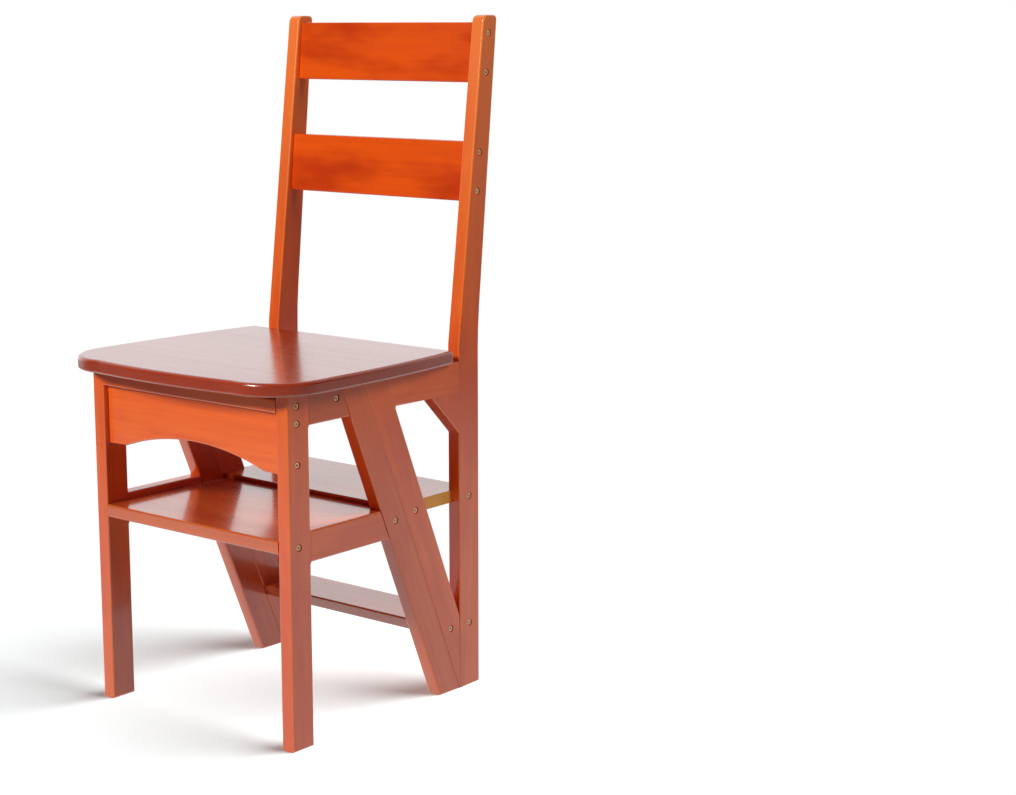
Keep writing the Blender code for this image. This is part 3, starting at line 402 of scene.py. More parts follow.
def front_stringer_corners(arris):
    """Sloping plank of the front half, its head cut down for the hinge leaf and barrel."""
    def front(z):
        return split_y(z) - FRONT_STRINGER_RUN

    def rear(z):
        return split_y(z) - SPLIT_CLEARANCE

    meets = [(MID_RAIL_LOW.z * SPLIT_STRETCH, MID_RAIL_HIGH.z * SPLIT_STRETCH),
             (RAIL_BOTTOM * SPLIT_STRETCH, RAIL_TOP * SPLIT_STRETCH)]
    barrel_floor = HINGE.z - BARREL_REACH
    clockwise = seamed((front(0), 0), (front(MORTISE_FLOOR), MORTISE_FLOOR), meets, arris)
    clockwise += [(front(MORTISE_FLOOR), MORTISE_FLOOR, SEAM),
                  (HINGE.y - BARREL_REACH, MORTISE_FLOOR, SEAM),
                  (HINGE.y - BARREL_REACH, barrel_floor, SEAM),
                  (rear(barrel_floor), barrel_floor, SEAM), (rear(0), 0, arris / 2)]
    return clockwise[::-1]


def front_rail_corners(top, bottom, arris, mortised):
    """Level rail between front leg and front stringer, its end let down for a hinge leaf or plain."""
    front = LEG_HIGH.y + GLUE_LINE

    def rear(z):
        return split_y(z) - FRONT_STRINGER_RUN - GLUE_LINE

    lower = [(front, bottom, arris), (rear(bottom), bottom, arris)]
    if not mortised:
        return lower + [(rear(top), top, arris), (front, top, arris)]
    leaf_end = HINGE.y - MORTISE_REACH
    return lower + [(rear(MORTISE_FLOOR), MORTISE_FLOOR, SEAM), (leaf_end, MORTISE_FLOOR, SEAM),
                    (leaf_end, top, SEAM), (front, top, SEAM)]


def rear_stringer_corners(arris):
    """Sloping plank of the rear half, its foot cut upright against the post."""
    rear = POST_FRONT_Y - GLUE_LINE

    def front(z):
        return split_y(z) + SPLIT_CLEARANCE

    foot = RAIL_TOP - (rear - REAR_STRINGER_RUN - HINGE.y) / SPLIT_SLOPE
    head = (split_y(MORTISE_FLOOR) + REAR_STRINGER_RUN, MORTISE_FLOOR)
    length = np.hypot(rear - head[0], head[1] - foot)
    meets = [(length - (MORTISE_FLOOR - RAIL_BOTTOM) * SPLIT_STRETCH, length)]
    barrel_floor = HINGE.z - BARREL_REACH
    return ([(front(barrel_floor), barrel_floor, arris / 2), (front(ARRIS_RUN), ARRIS_RUN, arris / 2),
             (front(0), 0, SEAM), (rear, 0, SEAM)]
            + seamed((rear, foot), head, meets, arris)
            + [(*head, SEAM), (HINGE.y + BARREL_REACH, MORTISE_FLOOR, SEAM),
               (HINGE.y + BARREL_REACH, barrel_floor, SEAM)])


def rear_rail_corners(arris):
    """Level rail between rear stringer and post, let down at its front end for the hinge leaf."""
    def front(z):
        return split_y(z) + REAR_STRINGER_RUN + GLUE_LINE

    rear = POST_FRONT_Y - GLUE_LINE
    leaf_end = HINGE.y + MORTISE_REACH
    top = RAIL_TOP - LEAF_PROUD
    return [(front(RAIL_BOTTOM), RAIL_BOTTOM, arris), (POST_FRONT_Y - GUSSET, RAIL_BOTTOM, SEAM),
            (rear, RAIL_BOTTOM, SEAM), (rear, top, SEAM), (leaf_end, top, SEAM),
            (leaf_end, MORTISE_FLOOR, SEAM), (front(MORTISE_FLOOR), MORTISE_FLOOR, SEAM)]


def post_corners(arris):
    """Rear post with its gusset: upright to the seat, then leaning back and tapered, its top rounded."""
    top, half_bend = POST_HIGH.z, POST_BEND_LENGTH / 2
    front_bend, rear_bend = HINGE.z + POST_FRONT_BEND_RISE, HINGE.z + POST_REAR_BEND_RISE
    eased = half_bend * POST_REAR_LEAN
    gusset_top = RAIL_BOTTOM - GLUE_LINE
    stringer_foot = RAIL_TOP - (POST_FRONT_Y - REAR_STRINGER_RUN - HINGE.y) / SPLIT_SLOPE
    return [(POST_REAR_Y, 0, arris), (POST_REAR_Y, rear_bend - half_bend, arris),
            (POST_REAR_Y + eased / 4, rear_bend, arris),
            (POST_REAR_Y + eased, rear_bend + half_bend, arris),
            (POST_REAR_Y + (top - rear_bend) * POST_REAR_LEAN, top, arris, POST_REAR_CORNER),
            (POST_FRONT_Y + (top - front_bend) * POST_FRONT_LEAN, top, arris, POST_FRONT_CORNER),
            (POST_FRONT_Y, front_bend, arris),
            (POST_FRONT_Y, RAIL_TOP + ARRIS_RUN, arris), (POST_FRONT_Y, RAIL_TOP, SEAM),
            (POST_FRONT_Y, gusset_top, SEAM), (POST_FRONT_Y - GUSSET, gusset_top, SEAM),
            (POST_FRONT_Y - GUSSET + ARRIS_RUN, gusset_top - ARRIS_RUN, arris),
            (POST_FRONT_Y, gusset_top - GUSSET, arris),
            (POST_FRONT_Y, stringer_foot + ARRIS_RUN, arris),
            (POST_FRONT_Y, stringer_foot, SEAM), (POST_FRONT_Y, 0, SEAM)]


def apron_outline(arris):
    """Apron whose lower edge is a circle's arc between two short flats.

    The arc of height h over a half-width w has radius (w^2 + h^2) / 2h and hangs from its centre as
    z = centre + sqrt(radius^2 - x^2).
    """
    half, low, high = APRON_HIGH.x, APRON_LOW.z, APRON_HIGH.z
    width = half - APRON_FLAT
    radius = (width ** 2 + APRON_ARCH_RISE ** 2) / (2 * APRON_ARCH_RISE)
    x = np.linspace(-width, width, ARCH_STEPS + 1)
    arch = np.stack([x, low + APRON_ARCH_RISE - radius + np.sqrt(radius ** 2 - x ** 2),
                     np.full(x.shape, arris)], axis=1)
    return np.concatenate([[(half, low, SEAM), (half, high, SEAM), (-half, high, SEAM), (-half, low, SEAM)],
                           arch])


def seat_outline(arris):
    """Seat from above: a bowed front, round front corners, and sides that draw in to the rear.

    The bow is a circle's arc, y = centre - sqrt(radius^2 - x^2). A side is straight at first and then
    narrows with the square of the distance gone.
    """
    wide, narrow = SEAT_HIGH.x, HALF_WIDTH + SEAT_REAR_OVERHANG
    front, rear = SEAT_LOW.y, SEAT_HIGH.y
    corner_y = front + SEAT_FRONT_BOW
    bow_half = wide - SEAT_FRONT_CORNER
    radius = (bow_half ** 2 + SEAT_FRONT_BOW ** 2) / (2 * SEAT_FRONT_BOW)
    x = np.linspace(-bow_half, bow_half, BOW_STEPS + 1)[1:-1]
    bow = np.stack([x, front + radius - np.sqrt(radius ** 2 - x ** 2)], axis=1)
    gone = np.linspace(0, 1, WAIST_STEPS, endpoint=False)
    side = np.stack([wide - (wide - narrow) * gone ** 2, rear - SEAT_WAIST_RUN * (1 - gone)], axis=1)
    fall = SEAT_FRONT_BOW * SEAT_FRONT_CORNER / bow_half
    front_corner = rounded([(bow_half - SEAT_FRONT_CORNER, corner_y - fall, arris),
                            (wide, corner_y, arris, SEAT_FRONT_CORNER), (wide, side[0, 1], arris)])[1:-1]
    rear_corner = rounded([(*side[-1], arris), (narrow, rear, arris, SEAT_REAR_CORNER),
                           (0, rear, arris)])[1:-1]
    right = np.concatenate([front_corner[:, :2], side, rear_corner[:, :2]])
    whole = np.concatenate([bow, right, right[::-1] * (-1, 1)])
    return np.column_stack([whole, np.full(len(whole), arris)])


def ring_surface(rings):
    """Turned surface from rings of points, closed flat at both its ends.

    The normal of each quad is the cross product of its diagonals, and corners that meet at less than
    the sharp angle share the sum of theirs.
    """
    surface = Surface()
    rows = surface.add_points(rings)
    quads = grid_quads(rows)[..., ::-1]
    flat = unit(np.cross(surface.points[quads[..., 2]] - surface.points[quads[..., 0]],
                         surface.points[quads[..., 3]] - surface.points[quads[..., 1]]))
    left, right = (unit(flat + np.where(np.sum(flat * beside, -1, keepdims=True) > SHARP, beside, 0))
                   for beside in (np.roll(flat, 1, axis=1), np.roll(flat, -1, axis=1)))
    surface.add_faces(quads, np.stack([left, right, right, left], axis=2))
    surface.add_faces(rows[:1, ::-1], np.array((1.0, 0, 0)))
    surface.add_faces(rows[-1:], np.array((-1.0, 0, 0)))
    return surface


def screw_surface(sizes):
    """Furniture screw turned about +X, its head's face at the origin, with a six-sided socket.

    A ring of radius r at depth d is r (cos a, sin a), except in the socket, where r is divided by the
    cosine of the angle from the middle of the nearest flat.
    """
    head, rim, shank, socket = sizes.screw_head, sizes.screw_rim, sizes.screw_shank, sizes.screw_socket
    head_end = -(sizes.screw_head_height + rim)
    turn = np.linspace(0, tau, SCREW_SIDES, endpoint=False)
    hexagon = cos(pi / 6) / np.cos((turn + pi / 6) % (pi / 3) - pi / 6)
    profile = [(socket, -sizes.screw_socket_depth, 1), (socket, -rim / 2, 1), (socket + rim / 2, 0, 0)]
    profile += [(head - rim * (1 - sin(angle)), -rim * (1 - cos(angle)), 0)
                for angle in np.linspace(0, pi / 2, ARRIS_STEPS + 1)]
    profile += [(head, head_end, 0), (shank, head_end - (head - shank), 0),
                (shank, -sizes.screw_length + shank, 0)]
    radius, depth, six = np.array(profile).T[..., None]
    spread = radius * np.where(six > 0, hexagon, 1)
    return ring_surface(np.stack([np.broadcast_to(depth, spread.shape), spread * np.cos(turn),
                                  spread * np.sin(turn)], axis=-1))


class Value:
    """A shader value whose arithmetic adds Math nodes to its finish."""

    def __init__(self, look, socket):
        self.look = look
        self.socket = socket

    def math(self, operation, *others):
        node = self.look.node("ShaderNodeMath", {"operation": operation}, dict(enumerate(others)))
        return Value(self.look, node.outputs[0])

    def __add__(self, other):
        return self.math("ADD", self, other)

    __radd__ = __add__

    def __sub__(self, other):
        return self.math("SUBTRACT", self, other)

    def __rsub__(self, other):
        return self.math("SUBTRACT", other, self)

    def __mul__(self, other):
        return self.math("MULTIPLY", self, other)

    __rmul__ = __mul__


class Look:
    """A finish: a material or world, and the nodes that feed its shader."""

    def __init__(self, owner, shader="Principled BSDF"):
        owner.use_nodes = True
        self.owner = owner
        self.tree = owner.node_tree
        self.shader = self.tree.nodes[shader]

    def node(self, kind, settings=None, sockets=None):
        """New node of a type, with its settings made first and then its sockets' values or links."""
        made = self.tree.nodes.new(kind)
        for key, value in (settings or {}).items():
            setattr(made, key, value)
        self.feed(made, sockets or {})
        return made

    def feed(self, node, sockets):
        """Give sockets of a node, by name or number, their values or links."""
        for key, value in sockets.items():
            if isinstance(value, Value):
                self.tree.links.new(value.socket, node.inputs[key])
            elif isinstance(value, bpy.types.NodeSocket):
                self.tree.links.new(value, node.inputs[key])
            else:
                node.inputs[key].default_value = value

    def value(self, kind, settings=None, sockets=None, output=0):
        """One output of a new node, ready for arithmetic."""
        return Value(self, self.node(kind, settings, sockets).outputs[output])

    def noise(self, place, cells, detail, roughness=0.5, distortion=0.0):
        """Noise from 0 to 1 with the given number of cells per metre in each direction."""
        scaled = self.node("ShaderNodeVectorMath", {"operation": "MULTIPLY"}, {0: place, 1: cells})
        return self.value("ShaderNodeTexNoise", None,
                          {"Vector": scaled.outputs[0], "Scale": 1.0, "Detail": detail,
                           "Roughness": roughness, "Distortion": distortion})

    def between(self, value, low, high, start=0.0, end=1.0):
        """Value carried smoothly from its range low to high into start to end."""
        return self.value("ShaderNodeMapRange", {"interpolation_type": "SMOOTHSTEP"},
                          {"Value": value, "From Min": low, "From Max": high,
                           "To Min": start, "To Max": end})

    def mix(self, factor, first, second):
        """Mix of two colours."""
        return self.node("ShaderNodeMix", {"data_type": "RGBA"}, {0: factor, 6: first, 7: second}).outputs[2]


# Noises: cells per metre, first along the grain, then their detail, roughness and distortion
BANDS = ((1.6, 34, 34), 3.0, 0.55, 0.4)
STREAKS = ((4, 240, 240), 3.0, 0.6, 0.2)
PORES = ((45, 1500, 1500), 1.0)
CLOUDS = ((4, 13, 13), 3.0, 0.6)
KNOTS = ((26, 60, 60), 1.0, 0.5, 0.6)
TARNISH = ((90, 90, 90), 3.0)
TURNING = ((400, 3000, 3000), 2.0)

# Noise at which a feature begins to show, and at which it shows in full
FIGURE_RANGE = (0.34, 0.66)
CLOUD_RANGE = (0.42, 0.66)
KNOT_RANGE = (0.84, 0.9)
PORE_RANGE = (0.62, 0.78)
TARNISH_RANGE = (0.45, 0.75)

# How far a feature that shows in full covers what lies under it
FIGURE_SHARE = 0.5
PORE_SHARE = 0.12
KNOT_SHARE = 0.5
TARNISH_SHARE = 0.5

# Share of the dark stain, or of the brass, that a feature leaves
CLOUD_STAIN = (0.84, 0.62, 0.7)
DEEP_STAIN = 0.5
KNOT_STAIN = 0.35
TARNISHED = 0.45

# Gain of the light stain where it is worn and where a highlight is painted, and what is added to that
WORN_AND_HIGHLIT_GAIN = 1.5
WORN_AND_HIGHLIT_LIFT = 0.02

# What figure, pores and tarnish add to the roughness
FIGURE_ROUGHNESS = 0.06
PORE_ROUGHNESS = 0.05
TARNISH_ROUGHNESS = 0.2

# Woods: roughness, lacquer and its haze, then the strength of wear with painted highlight, clouds and relief
WOODS = {
    "frame_stain": (0.28, 0.8, 0.12, 0.45, 0.55, 1.0),
    "slat_stain": (0.2, 0.2, 0.12, 0.3, 0.9, 1.0),
    "board_stain": (0.24, 1.0, 0.12, 0.3, 0.5, 0.25),
    "seat_stain": (0.24, 1.0, 0.18, 0.1, 0.4, 0.25),
    "bare_wood": (0.5, 0.0, 0.12, 0.1, 0.3, 1.0),
}


def opaque(colour, share=1.0):
    """A colour, or a share of it, with full alpha as shader sockets take it."""
    return (*np.multiply(colour, share), 1.0)


def stained_wood(name, light, dark, roughness, coat, haze, worn_and_highlit, cloudy, relief):
    """Stained and lacquered hardwood whose figure follows the grain coordinates of each piece.

    Broad bands, finer streaks and short pores are noises stretched along the grain, and the stain
    takes darker in clouds and in a few small knots. It lies lighter on the arrises and at the tops of
    rubbed planks, from wear and as a painted highlight, and the lacquer's gloss dips a little over
    the pores.
    """
    look = Look(bpy.data.materials.new(name))
    grain = look.node("ShaderNodeAttribute", {"attribute_name": "grain"}).outputs["Vector"]
    wear, depth = (look.value("ShaderNodeAttribute", {"attribute_name": label}, output="Fac")
                   for label in ("wear", "stain"))
    bands, streaks, pores, clouds, knots = (look.noise(grain, *pattern)
                                            for pattern in (BANDS, STREAKS, PORES, CLOUDS, KNOTS))
    figure = look.between((bands + streaks) * 0.5, *FIGURE_RANGE)
    cloud = look.between(clouds, *CLOUD_RANGE)
    knot = look.between(knots, *KNOT_RANGE)
    pore = look.between(pores, *PORE_RANGE)
    colour = opaque(light)
    for amount, stain in ((figure * FIGURE_SHARE, 1.0), (cloud * cloudy, CLOUD_STAIN), (depth, DEEP_STAIN),
                          (pore * PORE_SHARE * relief, CLOUD_STAIN), (knot * KNOT_SHARE, KNOT_STAIN)):
        colour = look.mix(amount, colour, opaque(dark, stain))
    # Painted highlight with wear: the light stain is lightened on arrises and at the tops of rubbed planks
    colour = look.mix(wear * worn_and_highlit, colour, opaque([min(part * WORN_AND_HIGHLIT_GAIN + WORN_AND_HIGHLIT_LIFT, 1) for part in light]))
    bump = look.node("ShaderNodeBump", None, {"Strength": 0.1 * relief, "Distance": 0.2 * MM,
                                              "Height": (streaks - pore) * 0.5})
    matt = roughness + figure * FIGURE_ROUGHNESS + pore * PORE_ROUGHNESS
    look.feed(look.shader, {"Base Color": colour, "Roughness": matt, "Coat Weight": coat,
                            "Coat Roughness": haze, "Normal": bump.outputs[0]})


def brass(name, colour, roughness, metal):
    """Brass with fine turning marks and a little tarnish."""
    look = Look(bpy.data.materials.new(name))
    place = look.node("ShaderNodeTexCoord").outputs["Object"]
    tarnish, marks = look.noise(place, *TARNISH), look.noise(place, *TURNING)
    dulled = look.between(tarnish, *TARNISH_RANGE) * TARNISH_SHARE
    shade = look.mix(dulled, opaque(colour), opaque(colour, TARNISHED))
    bump = look.node("ShaderNodeBump", None, {"Strength": 0.1, "Distance": 0.1 * MM, "Height": marks})
    look.feed(look.shader, {"Base Color": shade, "Metallic": metal, "Normal": bump.outputs[0],
                            "Roughness": roughness + tarnish * TARNISH_ROUGHNESS})


def colour_property(name, description, default):
    """Colour that the user can change."""
    return bpy.props.FloatVectorProperty(name=name, description=description, default=default, size=3,
                                         min=0, max=1, subtype="COLOR")


def length_property(name, description, default):
    """Length that the user can change."""
    return bpy.props.FloatProperty(name=name, description=description, default=default, min=0,
                                   unit="LENGTH", subtype="DISTANCE")


class CHAIR_PG_sizes(bpy.types.PropertyGroup):
    """Rounding and hardware sizes of the visible pieces"""
    arris: length_property("Plank Arris", "Rounding of legs, rails and posts", 2.4 * MM)
    board_arris: length_property("Board Arris", "Rounding of steps, shelves and slats", 2.2 * MM)
    seat_arris: length_property("Seat Arris", "Rounding around the top of the seat", 4.8 * MM)
    seat_low_arris: length_property("Seat Lower Arris", "Rounding around the seat's underside", 3.0 * MM)
    screw_head: length_property("Screw Head", "Radius of the screw heads", 3.7 * MM)
    screw_rim: length_property("Screw Rim", "Rounding around the screw heads", 0.6 * MM)
    screw_length: length_property("Screw Length", "Length from head to tip", 42.0 * MM)
    screw_shank: length_property("Screw Shank", "Radius of the screw shanks", 2.2 * MM)
    screw_socket: length_property("Screw Socket", "Radius of the six-sided socket's flats", 1.7 * MM)
    screw_socket_depth: length_property("Socket Depth", "Depth of the six-sided socket", 1.4 * MM)
    screw_head_height: length_property("Head Height", "Straight height of the screw heads", 2.4 * MM)


class CHAIR_PG_finish(bpy.types.PropertyGroup):
    """Colours of the wood stains, the brass and the studio"""
    frame_light: colour_property("Frame Light", "Pale figure of legs, rails and posts", (0.92, 0.145, 0.012))
    frame_dark: colour_property("Frame Dark", "Dark figure of legs, rails and posts", (0.74, 0.084, 0.008))
    slat_light: colour_property("Slat Light", "Pale figure of the back slats", (0.86, 0.098, 0.003))
    slat_dark: colour_property("Slat Dark", "Dark figure of the back slats", (0.66, 0.058, 0.002))
    board_light: colour_property("Step Light", "Pale figure of steps and shelves", (0.66, 0.115, 0.02))
    board_dark: colour_property("Step Dark", "Dark figure of steps and shelves", (0.50, 0.075, 0.011))
    seat_light: colour_property("Seat Light", "Pale figure of the seat", (0.37, 0.038, 0.008))
    seat_dark: colour_property("Seat Dark", "Dark figure of the seat", (0.32, 0.03, 0.006))
    bare_light: colour_property("Bare Light", "Pale figure of unstained wood", (0.96, 0.48, 0.11))
    bare_dark: colour_property("Bare Dark", "Dark figure of unstained wood", (0.78, 0.38, 0.07))
    screw: colour_property("Screw Brass", "Brass of the screws", (1.0, 0.7, 0.4))
    hinge: colour_property("Hinge Brass", "Brass of the hinges", (0.72, 0.48, 0.18))
    floor: colour_property("Floor", "Pale floor", (0.30, 0.30, 0.30))


class CHAIR_OT_finishes(bpy.types.Operator):
    """Mix the wood stains and the brass"""
    bl_idname = "chair.finishes"
    bl_label = "Finishes"

    def execute(self, context):
        finish = context.scene.chair_finish
        for name, numbers in WOODS.items():
            kind = name.split("_")[0]
            light, dark = (getattr(finish, f"{kind}_{tone}") for tone in ("light", "dark"))
            stained_wood(name, light, dark, *numbers)
        brass("screw_brass_turned", finish.screw, roughness=0.38, metal=0.3)
        brass("hinge_brass_drawn", finish.hinge, roughness=0.28, metal=1.0)
        return {"FINISHED"}


def present(surface, node, axes, place, grain, look):
    """Put a worked-out surface in the place of its node, on the same body."""
    plain = node.removesuffix("_R").removesuffix("_L")
    piece = surface.make(f"{node}_finished", axes, place, grain, bpy.data.materials[look],
                         STAIN_DEPTH.get(plain, 0.0), RUBBED_AND_HIGHLIT.get(plain, 0.0))
    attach(piece, body_of(node))
    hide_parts(node)
    return piece


def grain_axes(along):
    """Grain directions for a plank of the side frames: along it, across it, and through its thickness."""
    along = np.array((0, *along), float)
    along /= np.linalg.norm(along)
    return np.array([along, (0, -along[2], along[1]), (1, 0, 0)])


def screw_places(half, side):
    """Centres (y, z) of the screws of one half of the chair on one side."""
    boxes = [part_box(node) for node in frame["nodes"] if node.startswith(f"{half}_screw_{side}")]
    return [((low.y + high.y) / 2, (low.z + high.z) / 2) for low, high in boxes]


def inside(place, outline):
    """Whether a point lies inside an outline: a ray up from it crosses an odd number of edges."""
    u, v = outline[:, 0], outline[:, 1]
    next_u, next_v = np.roll(u, -1), np.roll(v, -1)
    spans = (u > place[0]) != (next_u > place[0])
    run = np.where(next_u == u, 1.0, next_u - u)
    height = v + (place[0] - u) * (next_v - v) / run
    return np.count_nonzero(spans & (height > place[1])) % 2 == 1


def side_pair(node, corners, along, edge_bores=None):
    """The same plank in the right and left side frames, its screws counterbored into the outer face."""
    outline = rounded(corners)
    half = "rear" if node.startswith("rear") else "front"
    for side, sign in SIDES:
        bores = [(*place, sign) for place in screw_places(half, side) if inside(place, outline)]
        surface = board_surface(outline, PLANK_THICKNESS, bores=bores, edge_bores=edge_bores)
        present(surface, f"{node}_{side}", SIDE_VIEW, (sign * PLANK_X, 0, 0), grain_axes(along),
                "frame_stain")


class CHAIR_OT_side_frames(bpy.types.Operator):
    """Draw the legs, sloping planks, rails and posts of both side frames"""
    bl_idname = "chair.side_frames"
    bl_label = "Side Frames"

    def execute(self, context):
        arris = context.scene.chair_sizes.arris
        edge_holes = [(HINGE.z - BARREL_REACH - z) * SPLIT_STRETCH
                      for z in (RAIL_TOP - EDGE_HOLE_DROP, EDGE_HOLE_RISE)]
        side_pair("front_leg", leg_corners(arris), UPRIGHT)
        side_pair("front_stringer", front_stringer_corners(arris), SLOPING)
        side_pair("rear_stringer", rear_stringer_corners(arris), SLOPING, (0, edge_holes))
        side_pair("front_top_rail", front_rail_corners(RAIL_TOP, RAIL_BOTTOM, arris, True), LEVEL)
        side_pair("mid_rail", front_rail_corners(MID_RAIL_HIGH.z, MID_RAIL_LOW.z, arris, False), LEVEL)
        side_pair("rear_top_rail", rear_rail_corners(arris), LEVEL)
        side_pair("rear_post", post_corners(arris), LEANING)
        return {"FINISHED"}


def cross_board(node, corners, grain, look):
    """Board across the chair: its rounded (y, z) section drawn out along X."""
    low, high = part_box(node)
    surface = board_surface(rounded(corners, ARRIS_STEPS), high.x - low.x)
    return present(surface, node, SIDE_VIEW, (0, 0, 0), grain, look)


def bare_ends(piece):
    """Leave the sawn ends of a board, its faces that look along X, without stain."""
    mesh = piece.data
    mesh.materials.append(bpy.data.materials["bare_wood"])
    normals = np.empty(3 * len(mesh.polygons))
    mesh.polygons.foreach_get("normal", normals)
    mesh.polygons.foreach_set("material_index", (np.abs(normals[::3]) > END_FACING).astype(np.int32))


class CHAIR_OT_boards(bpy.types.Operator):
    """Draw the step board, the middle shelf and the two rear shelves"""
    bl_idname = "chair.boards"
    bl_label = "Steps and Shelves"

    def execute(self, context):
        arris = context.scene.chair_sizes.board_arris
        for node in ("step_board", "mid_shelf", "upper_rear_shelf", "lower_rear_shelf"):
            low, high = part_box(node)
            front, rear = (low.y, low.y), (high.y, high.y)
            if "rear" in node:
                front = [split_y(z) + SPLIT_CLEARANCE for z in (low.z, high.z)]
            else:
                rear = [split_y(z) - SPLIT_CLEARANCE for z in (low.z, high.z)]
            corners = [(front[0], low.z, SEAM, arris), (rear[0], low.z, SEAM, arris),
                       (rear[1], high.z, SEAM, arris), (front[1], high.z, SEAM, arris)]
            look = "frame_stain" if node == "step_board" else "board_stain"
            board = cross_board(node, corners, LEVEL_GRAIN, look)
            if node == "upper_rear_shelf":
                bare_ends(board)
        return {"FINISHED"}


class CHAIR_OT_apron(bpy.types.Operator):
    """Draw the arched apron between the front legs"""
    bl_idname = "chair.apron"
    bl_label = "Apron"

    def execute(self, context):
        outline = apron_outline(context.scene.chair_sizes.arris)
        surface = board_surface(outline, APRON_HIGH.y - APRON_LOW.y)
        present(surface, "apron", FRONT_VIEW, (0, (APRON_LOW.y + APRON_HIGH.y) / 2, 0), UPRIGHT_GRAIN,
                "frame_stain")
        return {"FINISHED"}


class CHAIR_OT_slats(bpy.types.Operator):
    """Draw the two slats of the back, which lean with the posts"""
    bl_idname = "chair.slats"
    bl_label = "Back Slats"

    def execute(self, context):
        arris = context.scene.chair_sizes.board_arris
        for node in ("top_slat", "lower_slat"):
            low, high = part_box(node)
            lean = (high.z - low.z) * POST_REAR_LEAN
            corners = [(low.y, low.z, SEAM, arris), (high.y - lean, low.z, SEAM, arris),
                       (high.y, high.z, SEAM, arris), (low.y + lean, high.z, SEAM, arris)]
            cross_board(node, corners, UPRIGHT_GRAIN, "slat_stain")
        return {"FINISHED"}


class CHAIR_OT_seat(bpy.types.Operator):
    """Draw the seat board"""
    bl_idname = "chair.seat"
    bl_label = "Seat"

    def execute(self, context):
        sizes = context.scene.chair_sizes
        outline = seat_outline(sizes.seat_arris)
        bottom = SEAT_LOW.z + LEAF_PROUD
        surface = board_surface(outline, SEAT_HIGH.z - bottom, sizes.seat_low_arris / sizes.seat_arris)
        present(surface, "seat_board", TOP_VIEW, (0, 0, (SEAT_HIGH.z + bottom) / 2), LEVEL_GRAIN,
                "seat_stain")
        return {"FINISHED"}


class CHAIR_OT_screws(bpy.types.Operator):
    """Turn the brass screws and set them into their recesses"""
    bl_idname = "chair.screws"
    bl_label = "Screws"

    def execute(self, context):
        surface = screw_surface(context.scene.chair_sizes)
        for node in sorted(name for name in frame["nodes"] if "_screw_" in name):
            low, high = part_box(node)
            sign = 1 if high.x > 0 else -1
            face = high.x if sign > 0 else low.x
            turned = np.array([(sign, 0, 0), (0, sign, 0), (0, 0, 1)], float)
            present(surface, node, turned, (face, (low.y + high.y) / 2, (low.z + high.z) / 2),
                    LEVEL_GRAIN, "screw_brass_turned")
        return {"FINISHED"}


class CHAIR_OT_hinges(bpy.types.Operator):
    """Give the hinge leaves and pins their drawn brass"""
    bl_idname = "chair.hinges"
    bl_label = "Hinges"

    def execute(self, context):
        for name, node in frame["nodes"].items():
            if "hinge" in name:
                for slot in node.material_slots:
                    slot.material = bpy.data.materials["hinge_brass_drawn"]
        return {"FINISHED"}


# Lamps: kind, place, the point they face, strength, and how widely their light spreads
CHAIR_MIDDLE = (0, 0, 0.45)
LAMPS = {
    "front_softbox": ("AREA", (-0.6, -3.4, 2.4), CHAIR_MIDDLE, 134, "size", 0.7),
    "right_softbox": ("AREA", (3.0, 0.33, 2.9), CHAIR_MIDDLE, 50, "size", 1.6),
    "floor_light": ("SUN", (2.3, 1.9, 2.2), (0, 0, 0), 6.8, "angle", radians(62)),
    "rear_softbox": ("AREA", (-1.8, 3.4, 1.1), CHAIR_MIDDLE, 80, "size", 1.0),
}

# Even light of the room, what a reflection meets of it, and how squarely the backdrop is met in full
ROOM_LIGHT = 0.06
ROOM_MIRRORED = 0.03
BACKDROP_FACING = 0.7

# Floor: half its width, how far from the chair the camera sees shadow, the floor's own light up to
# half that distance, and its colour to the camera
FLOOR_REACH = 3.0
SHADOW_REACH = 0.64
NEAR_GLOW = 0.2
FLOOR_SEEN = (0.94, 1, 1)

# Floor in reflections: where its white ends, how dark it is there, the way along which it runs on
# for longer, and by how much of the distance gone
SHEET_END = 4 * SHADOW_REACH
SHEET_DARK = 0.9
SHEET_WAY = (0.62, 0.78, 0)
SHEET_STRETCH = 0.25

# Camera, from the vanishing lines of the chair in the photograph
CAMERA_BEFORE_LEG = 1.6924
CAMERA_PLACE = (1.8590, LEG_LOW.y - CAMERA_BEFORE_LEG, 0.8844)
CAMERA_AZIMUTH = 38.303
CAMERA_ELEVATION = 9.927
FOCAL_PIXELS = 2009.2
PICTURE_WIDTH = 1016
PICTURE_HEIGHT = 795
PICTURE_CENTRE = (512.4, 380.0)
SENSOR = 36.0


def add_camera():
    """Camera whose shift moves the picture's middle to where its lines of sight meet."""
    data = bpy.data.cameras.new("camera")
    data.sensor_width = SENSOR
    data.lens = FOCAL_PIXELS / PICTURE_WIDTH * SENSOR
    data.shift_x = (PICTURE_WIDTH / 2 - PICTURE_CENTRE[0]) / PICTURE_WIDTH
    data.shift_y = (PICTURE_CENTRE[1] - PICTURE_HEIGHT / 2) / PICTURE_WIDTH
    camera = add_object("camera", data)
    camera.location = CAMERA_PLACE
    camera.rotation_euler = (radians(90 - CAMERA_ELEVATION), 0, radians(CAMERA_AZIMUTH))
    bpy.context.scene.camera = camera


def add_lamp(name, kind, place, aim, strength, spread, width):
    """Soft lamp that faces a point; its spread, a size or an angle, has the given width."""
    data = bpy.data.lights.new(name, kind)
    data.energy = strength
    setattr(data, spread, width)
    lamp = add_object(name, data)
    lamp.location = place
    lamp.rotation_euler = (Vector(aim) - Vector(place)).to_track_quat("-Z", "Y").to_euler()
    return lamp


def light_up(lamp, floor, state):
    """Let a lamp light the floor alone (INCLUDE) or all but the floor (EXCLUDE)."""
    lit = bpy.data.collections.new(f"{lamp.name}_lit")
    lit.objects.link(floor)
    lit.collection_objects[0].light_linking.link_state = state
    lamp.light_linking.receiver_collection = lit


